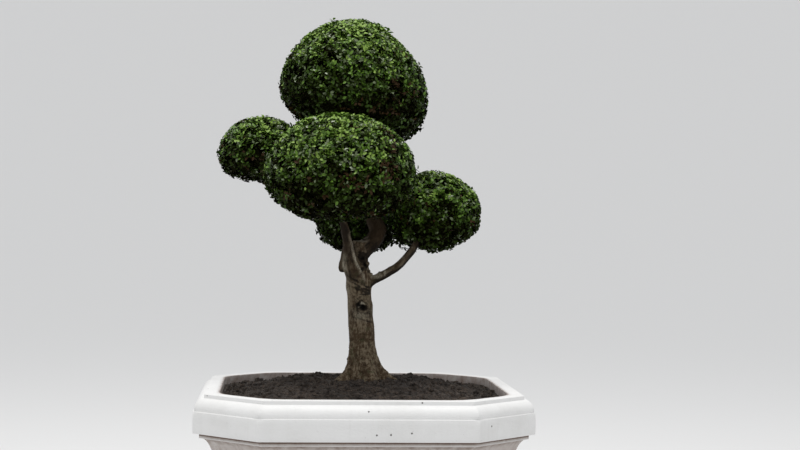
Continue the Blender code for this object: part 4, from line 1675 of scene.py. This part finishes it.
    def rough_out(self) -> Piece:
        """All limbs as tubes in one mesh, merged by a voxel remesh and smoothed a little.

        Returns:
            The undressed piece.
        """
        skin = Skin()
        rows = TRUNK.path(self.steps)
        foot = rows[:1].copy()
        foot[0, 2] -= self.sunk
        fine = np.linspace(0, 1, self.foot_rings)[:, None]
        near = rows[0] + (rows[self.steps] - rows[0]) * fine
        self.add_tube(skin, np.vstack([foot, near, rows[self.steps + 1 :]]), level=True)
        for limb in BOUGHS:
            self.add_tube(skin, self.grown(limb, self.steps))
        for root, tip in SPURS:
            self.add_tube(skin, Limb("spur", (), (root, tip)).path(4))
        rough = skin.build("tree_wood")
        remesh = rough.modifiers.new("merge", "REMESH")
        remesh.mode = "VOXEL"
        remesh.voxel_size = self.voxel
        smooth = rough.modifiers.new("even", "SMOOTH")
        smooth.factor = 0.5
        smooth.iterations = self.evening
        graph = bpy.context.evaluated_depsgraph_get()
        merged = bpy.data.meshes.new_from_object(rough.evaluated_get(graph))
        rough.modifiers.clear()
        rough.data = merged
        return rough

    def nearest(self, points: Array) -> tuple[Array, Array]:
        """Where each point lies among the limbs.

        The distance to a limb is the least of distance to an axis point less the radius there.

        Args:
            points: points on the wood's surface.

        Returns:
            Each point's distance to every limb, and the nearest axis point of every limb, with its radius.
        """
        gaps = np.full((len(points), len(LIMBS)), np.inf)
        axes = np.zeros((len(LIMBS), len(points), 4))
        for number, limb in enumerate(LIMBS):
            rows = self.grown(limb, self.fine_steps)
            for part in batches(len(points)):
                far = axis_gaps(points[part], rows)
                best = far.argmin(axis=1)
                gaps[part, number] = far[np.arange(len(far)), best]
                axes[number, part] = rows[best]
        return gaps, axes

    def seam_gap(self, points: Array) -> Array:
        """Each point's distance to the rubbed ridge, a line through the seam's places.

        Args:
            points: points on the wood's surface.

        Returns:
            One length for each point.
        """
        gaps = []
        for start, end in zip(self.seam[:-1], self.seam[1:]):
            a, b = np.array(start), np.array(end)
            t = np.clip((points - a) @ (b - a) / ((b - a) @ (b - a)), 0, 1)
            gaps.append(np.linalg.norm(points - (a + t[:, None] * (b - a)), axis=1))
        return np.min(gaps, axis=0)

    @staticmethod
    def read(mesh: bpy.types.Mesh, name: str) -> Array:
        """The mesh's vertex places or normals, as rows of x, y and z."""
        rows = np.empty(len(mesh.vertices) * 3, np.float32)
        mesh.vertices.foreach_get(name, rows)
        return rows.reshape(-1, 3).astype(float)

    def build(self) -> Piece:
        """The wood's piece: the merged limbs, with each point moved along its normal by the relief.

        Returns:
            The dressed piece.
        """
        piece = self.rough_out()
        mesh = piece.data
        points, normals = self.read(mesh, "co"), self.read(mesh, "normal")
        relief = BarkRelief(self, points, normals)
        shares = relief.work()
        points = points + normals * relief.height[:, None]
        mesh.vertices.foreach_set("co", points.astype(np.float32).ravel())
        mesh.polygons.foreach_set("use_smooth", np.full(len(mesh.polygons), True))
        mesh.update()
        for name, values in shares.items():
            carry_attribute(piece, name, values)
        dress(piece, [self.bark.material()], [node for limb in LIMBS for node in limb.nodes])
        return piece


# Foliage


@dataclass
class Shoots:
    """Leafy shoots: where each leaves its twig, its way, its length, its limit and how it is toned."""

    bases: Array
    ways: Array
    lengths: Array
    limits: Array
    lights: Array
    patches: Array

    def pick(self, chosen: Array) -> "Shoots":
        """Only the chosen shoots."""
        return Shoots(*(rows[chosen] for rows in vars(self).values()))


@dataclass(frozen=True)
class LeafShape:
    """A small oval pointed leaf, folded along its rib and drooping to its tip."""

    length: float = 0.0205
    low_half: float = 0.275
    high_half: float = 0.245
    low_at: float = 0.30
    high_at: float = 0.68
    fold: float = 0.085
    droop: float = 0.16

    RIBBED_FACES = (
        np.array([(0, 6, 1), (0, 5, 6), (2, 7, 3), (7, 4, 3)]),
        np.array([(1, 6, 7, 2), (6, 5, 4, 7)]),
    )
    RIBBED_TRIANGLES = 8
    PLAIN_FACES = (np.array([(0, 3, 2, 1), (0, 5, 4, 3)]),)
    PLAIN_TRIANGLES = 4

    def corners(self, ribbed: bool) -> Array:
        """The leaf's six outer points, and two on its rib, as shares of its length: along, across and up.

        Args:
            ribbed: whether the two points on the rib are wanted.

        Returns:
            Rows of the three shares. The leaf droops with the square of the share along it.
        """
        low, high = self.low_at, self.high_at
        rows = [
            (0.0, 0.0, 0.0),
            (low, self.low_half, self.fold),
            (high, self.high_half, self.fold),
            (1.0, 0.0, 0.0),
            (high, -self.high_half, self.fold),
            (low, -self.low_half, self.fold),
        ]
        if ribbed:
            rows += [(low + 0.03, 0.0, 0.0), (high + 0.02, 0.0, 0.0)]
        shape = np.array(rows)
        shape[:, 2] -= self.droop * shape[:, 0] ** 2
        return shape

    def place(self, roots: Array, along: Array, faces: Array, lengths: Array, ribbed: bool) -> Array:
        """Every leaf's points: root + length * (along x + side y + face z) for each of its corners.

        Args:
            roots: where the leaves start.
            along: unit vectors from root to tip.
            faces: unit vectors square to them, out of the upper sides.
            lengths: the leaves' lengths.
            ribbed: whether the leaf has points on its rib.

        Returns:
            An array of leaves by corners by x, y and z.
        """
        shape = self.corners(ribbed)[None] * lengths[:, None, None]
        return roots[:, None] + shape @ np.stack([along, np.cross(faces, along), faces], axis=1)

    def add(self, skin: Skin, points: Array, tones: Array) -> None:
        """Adds leaves to a skin, with each leaf's tone as its finish number.

        Args:
            skin: the skin that takes the leaves.
            points: an array of leaves by corners by x, y and z.
            tones: each leaf's tone number.
        """
        corners = points.shape[1]
        groups = self.RIBBED_FACES if corners == 8 else self.PLAIN_FACES
        starts = corners * np.arange(len(points))[:, None, None] + skin.count
        for group in groups:
            skin.faces.append((group[None] + starts).reshape(-1, group.shape[1]))
            skin.finishes.append(np.repeat(tones, len(group)).astype(np.int32))
        skin.add(points)


@dataclass(frozen=True)
class Foliage:
    """One mass's twigs and leaves, grown from its stem by halving its shoots again and again."""

    mass: Mass
    leaf: LeafShape = LeafShape()
    shoots_per_area: float = 3000.0
    fillers_per_area: float = 3800.0
    leaves_per_shoot: int = 11
    plain_leaves: int = 5
    shortest: float = 0.040
    longest: float = 0.064
    underside: float = 0.60
    stray: float = 0.028
    lift: float = 0.42
    dip: float = 0.036
    tip_inset: float = 0.003
    thin_level: float = 0.62
    inner_shade: float = 1.15
    least_light: float = -0.38
    raggedness: float = 0.055
    dip_shade: float = 0.80
    wood_steps: int = 14
    limb_margin: float = 0.011
    twig_margin: float = 0.002
    twig_tip: float = 0.0008
    twig_growth: float = 0.37
    twig_taper: float = 0.82
    stout_load: int = 60
    tries: int = 24000
    filler_depths: tuple = (0.028, 0.060)
    filler_lengths: tuple = (0.023, 0.032)
    filler_limit: float = 0.93
    most_triangles: int = 190000

    # light levels at which the painted light and shade tones change
    TONE_STEPS = (
        (LeafTone.DEEP, -0.46),
        (LeafTone.MIDDLE, -0.03),
        (LeafTone.BRIGHT, 0.33),
        (LeafTone.FRESH, 0.66),
    )

    def spread_ways(self, per_area: float, rng: Rng) -> Array:
        """Directions spread by the golden angle and thinned so that the outline is evenly filled.

        Direction i has height 1 - 2 (i + 1/2) / n and turn i times the golden angle. Its chance to be kept is
        in proportion to the outline's area there, reach squared over the cosine between it and the normal.
        Fewer are kept on the underside, and few where a noise is high there.

        Args:
            per_area: how many are kept on a square metre.
            rng: the mass's random numbers.

        Returns:
            The kept directions.
        """
        height = 1 - 2 * (np.arange(self.tries) + 0.5) / self.tries
        ways = polar(np.sqrt(1 - height**2), GOLDEN_TURN * np.arange(self.tries), height)
        out = self.mass.normals(ways)
        area = self.mass.reach(ways) ** 2 / np.clip(dots(ways, out), 0.2, 1) * 4 * math.pi / self.tries
        low = ramp(-out[:, 2] - 0.25, 0.5)
        thin = (Grain(65).over(self.mass.skin(ways, 0.0), 34.0, 2) > self.thin_level) & (out[:, 2] < -0.1)
        share = (1 - (1 - self.underside) * low) * np.where(thin, 0.12, 1)
        return ways[rng.random(self.tries) < area * per_area * share]

    def light(self, points: Array, outs: Array) -> Array:
        """How much light is painted into the foliage's tones.

        It is more where the outline slopes up, higher in the mass and where a slow noise is high, less by the
        mass's shade, and steeper by its fall.

        Args:
            points: places on the outline or under it.
            outs: the outline's normals there.

        Returns:
            A number for each point, about 1 in full light and never under the least.
        """
        height = (points[:, 2] - self.mass.centre[2]) / self.mass.rise
        lit = 0.42 * outs[:, 2] + 0.38 * height + 0.20 * Grain(61).over(points, 9.0, 2) - self.mass.shade
        return np.maximum(lit + self.mass.fall * (height - 0.55), self.least_light)

    def tones(self, lights: Array, patches: Array, rng: Rng) -> Array:
        """The tone dealt to each leaf: painted light on the lit leaves and painted shade on the others,
        bronze and dull in patches, and a few pale glossy ones among the lit leaves as painted glints.

        Args:
            lights: how much light each leaf gets.
            patches: a number that is high where leaves are bronze and low where they are dull.
            rng: the mass's random numbers.

        Returns:
            One tone number for each leaf.
        """
        lit = lights + rng.normal(0, 0.24, len(lights)) * np.clip(1 + lights, 0.5, 1)
        tones = np.full(len(lights), LeafTone.SHADE.value)
        for tone, step in self.TONE_STEPS:
            tones[lit > step] = tone.value
        chance = rng.random(len(lights))
        tones[(patches > 0.62) & (chance < 0.58) & (lit > -0.5) & (lights < 0.5)] = LeafTone.BRONZE.value
        tones[(patches < -0.50) & (chance < 0.36) & (lit > -0.1)] = LeafTone.DULL.value
        # a few pale glossy leaves among the lit ones, as painted glints
        tones[(chance > 0.90) & (lit > -0.12)] = LeafTone.DULL.value
        return tones

    def shoots(self, rng: Rng) -> Shoots:
        """The shoots, each pointing along the outline's normal, raised a little, and ending on the outline.

        Below the middle they end at uneven depths, which leaves the underside ragged. A few stand out.

        Args:
            rng: the mass's random numbers.

        Returns:
            All shoots of the mass.
        """
        ways = self.spread_ways(self.shoots_per_area, rng)
        outs = self.mass.normals(ways)
        count = len(ways)
        raised = self.lift * np.clip(outs[:, 2:] + 0.8, 0, 1) * UP
        points = unit(outs + rng.normal(0, 0.24, (count, 3)) + raised)
        lengths = rng.uniform(self.shortest, self.longest, count)
        low = np.clip(0.1 - outs[:, 2], 0, 1)
        outline = self.mass.skin(ways, 0.0)
        ragged = Grain(63).over(outline, 26.0, 2) * low
        dips = np.clip(Grain(64).over(outline, 29.0, 2), 0, 1)
        limits = rng.uniform(0.977, 1.008, count) + self.raggedness * ragged - self.dip * dips
        stray = rng.random(count) < self.stray * (0.5 + 2 * low)
        limits[stray] += rng.uniform(0.02, 0.055, stray.sum())
        tips = self.mass.skin(ways, (1 - limits) * 0.30 + self.tip_inset)
        bases = tips - points * lengths[:, None]
        patches = Grain(62).layered(tips * 13.0 + 4.0, 2) + rng.normal(0, 0.28, count)
        # the light painted into each shoot's tones, darker in dips of the outline
        lights = self.light(tips, outs)
        lights = lights - self.dip_shade * dips + rng.normal(0, 0.27, count) * np.clip(1 + lights, 0.4, 1)
        shoots = Shoots(bases, points, lengths, limits, lights, patches)
        return shoots.pick((dots(points, outs) > 0.4) & self.clear_of_wood(bases, self.twig_margin))

    def clear_of_wood(self, points: Array, margin: float) -> Array:
        """Which points keep a margin from every limb's skin.

        Args:
            points: the points.
            margin: the least distance.

        Returns:
            True or false for each point.
        """
        rows = np.vstack([limb.path(self.wood_steps) for limb in LIMBS])
        clear = np.ones(len(points), bool)
        for part in batches(len(points)):
            clear[part] = axis_gaps(points[part], rows).min(axis=1) > margin
        return clear

    def held_in(self, points: Array, limits: Array) -> None:
        """Moves each leaf in by as much as its corners pass its limit, one corner after the other.

        Args:
            points: an array of leaves by corners by x, y and z, which is changed.
            limits: each leaf's limit, as a share of the outline's reach.
        """
        for corner in range(1, 6):
            away = points[:, corner] - np.array(self.mass.centre)
            far = np.linalg.norm(away, axis=1)
            over = np.clip(far - limits * self.mass.reach(away / far[:, None]), 0, None)
            points -= (away / far[:, None] * over[:, None])[:, None]

    def leaves(self, shoots: Shoots, rng: Rng) -> list[tuple[Array, Array]]:
        """The leaves of all shoots.

        Leaf j of a shoot sits at its share t of the length and at j golden angles round it. It leans out from
        the shoot by an angle that falls from 83 degrees at the foot to 54 at the tip, faces the way the shoot
        points, and is turned a little to the light. The nearer the foot, the darker its painted shade.

        Args:
            shoots: the shoots.
            rng: the mass's random numbers.

        Returns:
            The points and tones of the ribbed leaves, and of the plain ones at the feet of the shoots.
        """
        each = self.leaves_per_shoot
        share = np.linspace(0.15, 1.0, each)[None] + rng.uniform(-0.04, 0.04, (len(shoots.bases), each))
        turn = rng.uniform(0, 2 * math.pi, (len(share), 1)) + GOLDEN_TURN * np.arange(each)[None]
        turn = turn + rng.uniform(-0.35, 0.35, turn.shape)
        first, second = across(shoots.ways)
        cosine, sine = np.cos(turn)[..., None], np.sin(turn)[..., None]
        aside = first[:, None] * cosine + second[:, None] * sine
        way = shoots.ways[:, None]
        lean = np.radians(88 - 34 * share + rng.uniform(-15, 15, share.shape))[..., None]
        along = way * np.cos(lean) + aside * np.sin(lean)
        face = way * np.sin(lean) - aside * np.cos(lean)
        roots = shoots.bases[:, None] + way * (share * shoots.lengths[:, None])[..., None] + aside * 0.0016
        lengths = self.leaf.length * (0.80 + 0.26 * np.sin(math.pi * (0.12 + 0.72 * share)))
        lengths = lengths * rng.uniform(0.78, 1.20, share.shape)
        roots, along, face = (rows.reshape(-1, 3) for rows in (roots, along, face))
        along = unit(along + rng.normal(0, 0.12, along.shape))
        face = face + rng.normal(0, 0.34, face.shape) + 0.35 * UP
        face = unit(face - along * dots(face, along)[:, None])
        points = self.leaf.place(roots, along, face, lengths.ravel(), ribbed=True)
        self.held_in(points, np.repeat(shoots.limits, each))
        # painted shade: leaves nearer the foot of a shoot are darker
        lights = shoots.lights[:, None] + self.inner_shade * (share - 0.80)
        tones = self.tones(lights.ravel(), np.repeat(shoots.patches, each), rng)
        keep = self.clear_of_wood(points.mean(axis=1), self.limb_margin)
        plain = np.tile(np.arange(each) < self.plain_leaves, len(share))
        ribbed, hidden = keep & ~plain, keep & plain
        return [(points[ribbed], tones[ribbed]), (points[hidden, :6], tones[hidden])]

    def fillers(self, rng: Rng) -> tuple[Array, Array]:
        """Older, longer leaves under the outer ones, turned outwards, to fill the gaps, painted dark as
        shade.

        Args:
            rng: the mass's random numbers.

        Returns:
            The leaves' points and their tones.
        """
        ways = self.spread_ways(self.fillers_per_area, rng)
        outs = self.mass.normals(ways)
        count = len(ways)
        roots = self.mass.skin(ways, rng.uniform(*self.filler_depths, count))
        face = unit(outs + rng.normal(0, 0.42, (count, 3)))
        along = unit(np.cross(face, rng.normal(0, 1, (count, 3))))
        points = self.leaf.place(roots, along, face, rng.uniform(*self.filler_lengths, count), ribbed=False)
        self.held_in(points, np.full(count, self.filler_limit))
        # the fillers take the painted shade tones
        lit = self.light(roots, outs) + rng.normal(0, 0.2, count)
        tones = np.where(lit > 0.45, LeafTone.DEEP.value, LeafTone.SHADE.value)
        keep = self.clear_of_wood(points.mean(axis=1), self.limb_margin)
        return points[keep], tones[keep]

    def twigs(self, start: Array, targets: Array, rng: Rng) -> tuple[Array, Array, Array]:
        """Twigs from one start to every target.

        The targets are halved across their widest spread again and again. Each half gets a twig towards its
        middle, which stops short of it by the half's own spread, and there its own halves start.

        Args:
            start: where the stem forks.
            targets: the feet of the shoots.
            rng: the mass's random numbers.

        Returns:
            The twigs' starts and ends, and how many shoots each carries.
        """
        starts, ends, loads = [], [], []
        waiting = [(start, np.arange(len(targets)))]
        while waiting:
            fork, group = waiting.pop()
            points = targets[group]
            centred = points - points.mean(axis=0)
            widest = np.linalg.eigh(centred.T @ centred)[1][:, -1]
            order = np.argsort(centred @ widest)
            half = len(order) // 2
            for part in (group[order[:half]], group[order[half:]]):
                if len(part) == 1:
                    starts.append(fork)
                    ends.append(targets[part[0]])
                    loads.append(1)
                    continue
                chosen = targets[part]
                aim = chosen.mean(axis=0)
                way = aim - fork
                far = np.linalg.norm(way)
                spread = math.sqrt(((chosen - aim) ** 2).sum(axis=1).mean())
                share = min(0.8, max(0.25, 1 - 0.95 * spread / far)) if far > 0 else 0.0
                knot = fork + way * share + rng.normal(0, 0.05, 3) * far * share
                starts.append(fork)
                ends.append(knot)
                loads.append(len(part))
                waiting.append((knot, part))
        return np.array(starts), np.array(ends), np.array(loads)

    def add_rods(self, skin: Skin, starts: Array, ends: Array, thick: Array, thin: Array, sides: int) -> None:
        """Adds tapering rods, each with a ring at its start and one at its end.

        A ring is its middle + radius * (first cos a + second sin a). The first stands back by half a radius.

        Args:
            skin: the skin that takes the rods.
            starts: where they start.
            ends: where they end.
            thick: the radii at the starts.
            thin: the radii at the ends.
            sides: how many sides a rod has.
        """
        ways = unit(ends - starts)
        ring = circles(*across(ways), 2 * math.pi * np.arange(sides) / sides)
        low = (starts - ways * thick[:, None] * 0.5)[:, None] + ring * thick[:, None, None]
        high = ends[:, None] + ring * thin[:, None, None]
        points = np.concatenate([low, high], axis=1)
        k = np.arange(sides)
        walls = np.stack([(k + 1) % sides, (k + 1) % sides + sides, k + sides, k], axis=1)
        every = walls[None] + 2 * sides * np.arange(len(starts))[:, None, None]
        skin.add(points.reshape(-1, 3), every.reshape(-1, 4))

    def build(self, leaf_finishes: Sequence[Material], twig_finish: Material) -> None:
        """The mass's pieces: one of twigs, and as many of leaves as keep each under its limit.

        Args:
            leaf_finishes: the leaf materials, in the order of their tones.
            twig_finish: the twigs' material.
        """
        rng = np.random.default_rng(self.mass.seed)
        shoots = self.shoots(rng)
        crotch = np.array(self.mass.crotch())
        bough = next(limb for limb in BOUGHS if limb.name == self.mass.carrier)
        skin = Skin()
        starts, ends, loads = self.twigs(crotch, shoots.bases, rng)
        thick = np.minimum(self.twig_tip * loads**self.twig_growth, bough.stations[-1][3] * 0.6)
        clear, stout = self.clear_of_wood(ends, 0.0), loads > self.stout_load
        for sides, chosen in ((7, clear & stout), (3, clear & ~stout)):
            radii = thick[chosen]
            self.add_rods(skin, starts[chosen], ends[chosen], radii, radii * self.twig_taper, sides)
        tips = shoots.bases + shoots.ways * shoots.lengths[:, None] * 0.9
        thin = np.full(len(tips), self.twig_tip)
        self.add_rods(skin, shoots.bases, tips, thin, thin * 0.5, 3)
        twigs = skin.build(f"{self.mass.name}_twigs")
        dress(twigs, [twig_finish], [self.mass.name])
        kinds = [*self.leaves(shoots, rng), self.fillers(rng)]
        counts = [len(points) for points, _ in kinds]
        log.info("%s: %d shoots, %d and %d leaves, %d fillers", self.mass.name, len(tips), *counts)
        plain = self.leaf.PLAIN_TRIANGLES * (counts[1] + counts[2])
        pieces = math.ceil((counts[0] * self.leaf.RIBBED_TRIANGLES + plain) / self.most_triangles)
        skins = [Skin() for _ in range(pieces)]
        for points, tones in kinds:
            order = np.argsort(points[:, 0, 0], kind="stable")
            for skin, part in zip(skins, np.array_split(order, pieces)):
                self.leaf.add(skin, points[part], tones[part])
        for number, skin in enumerate(skins, 1):
            leaves = skin.build(f"{self.mass.name}_leaves_{number}")
            dress(leaves, leaf_finishes, [self.mass.name])


# Studio


@dataclass(frozen=True)
class Studio:
    """The photo's camera, a pale floor that curves up all round, and soft light from above."""

    eye: tuple = (-0.367, -6.942, 1.477)
    turn: float = 4.37
    pitch: float = 0.23
    roll: float = 0.75
    lens: float = 72.0
    sensor: float = 36.0
    floor_radius: float = 14.0
    dish_radius: float = 62.0
    dish_rise: float = 13.0
    around: int = 96
    level_rings: int = 12
    dish_rings: int = 39
    floor_colour: Colour = (0.71, 0.71, 0.71)
    sky_colour: Colour = (0.985, 0.992, 1.0)
    sky_strength: float = 0.89
    lamp_place: tuple = (-0.6, -0.8, 8.0)
    lamp_aim: tuple = (0.0, 0.0, 1.4)
    lamp_size: float = 4.0
    lamp_power: float = 325.0
    lamp_colour: Colour = (1.0, 0.985, 0.96)

    def camera(self) -> None:
        """A camera that looks along +Y, turned right, raised by the pitch and rolled anticlockwise."""
        turn, pitch, roll = (math.radians(a) for a in (self.turn, self.pitch, self.roll))
        ahead = Vector((math.sin(turn) * math.cos(pitch), math.cos(turn) * math.cos(pitch), math.sin(pitch)))
        right = Vector((math.cos(turn), -math.sin(turn), 0.0))
        up = right.cross(ahead)
        right, up = right * math.cos(roll) + up * math.sin(roll), up * math.cos(roll) - right * math.sin(roll)
        data = bpy.data.cameras.new("photo_camera")
        data.lens = self.lens
        data.sensor_width = self.sensor
        camera = bpy.data.objects.new("photo_camera", data)
        rows = Matrix((right, up, -ahead)).transposed()
        camera.matrix_world = Matrix.Translation(self.eye) @ rows.to_4x4()
        bpy.context.scene.collection.objects.link(camera)
        bpy.context.scene.camera = camera

    def floor(self) -> None:
        """The floor: level out to its radius, then rising with the square of the distance, as a wide dish."""
        shares = np.linspace(0, 1, self.dish_rings + 1)[1:]
        level = np.linspace(0.5, self.floor_radius, self.level_rings)
        reach = np.concatenate([level, self.floor_radius + (self.dish_radius - self.floor_radius) * shares])
        rise = np.concatenate([np.zeros(self.level_rings), self.dish_rise * shares**2])
        angles = np.linspace(0, 2 * math.pi, self.around, endpoint=False)
        rings = polar(reach[:, None], angles[None], rise[:, None])
        hub, _ = end_fans(len(reach), self.around)
        faces = ring_faces(len(reach), self.around)[:, ::-1], hub[:, [0, 2, 1]]
        skin = Skin()
        skin.add(np.vstack([rings.reshape(-1, 3), np.zeros((1, 3))]), *faces)
        floor = skin.build("studio_floor")
        finish = NodeSheet("studio_floor").finish(Base_Color=self.floor_colour, Roughness=0.9)
        floor.data.materials.append(finish)

    def lights(self) -> None:
        """A pale even sky and one large soft lamp overhead."""
        world = bpy.data.worlds.new("studio_sky")
        world.use_nodes = True
        sky = world.node_tree.nodes["Background"]
        sky.inputs["Color"].default_value = (*self.sky_colour, 1.0)
        sky.inputs["Strength"].default_value = self.sky_strength
        bpy.context.scene.world = world
        data = bpy.data.lights.new("overhead_lamp", "AREA")
        data.shape = "DISK"
        data.size = self.lamp_size
        data.energy = self.lamp_power
        data.color = self.lamp_colour
        lamp = bpy.data.objects.new("overhead_lamp", data)
        lamp.location = self.lamp_place
        lamp.rotation_euler = (Vector(self.lamp_aim) - lamp.location).to_track_quat("-Z", "Y").to_euler()
        bpy.context.scene.collection.objects.link(lamp)

    def build(self) -> None:
        """Camera, floor, lights and plain colours."""
        self.camera()
        self.floor()
        self.lights()
        bpy.context.scene.view_settings.view_transform = "Standard"


def main() -> None:
    """Builds the studio and every piece in order."""
    logging.basicConfig(level=logging.INFO, format="%(message)s", stream=sys.stdout)
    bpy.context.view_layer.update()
    Studio().build()
    Planter().build()
    SoilBed().build()
    Wood().build()
    leaf_finishes = [LEAF_FINISHES[tone].material() for tone in LeafTone]
    twig_finish = TWIG_FINISH.material()
    for mass in MASSES:
        Foliage(mass).build(leaf_finishes, twig_finish)


if __name__ == "__main__":
    main()
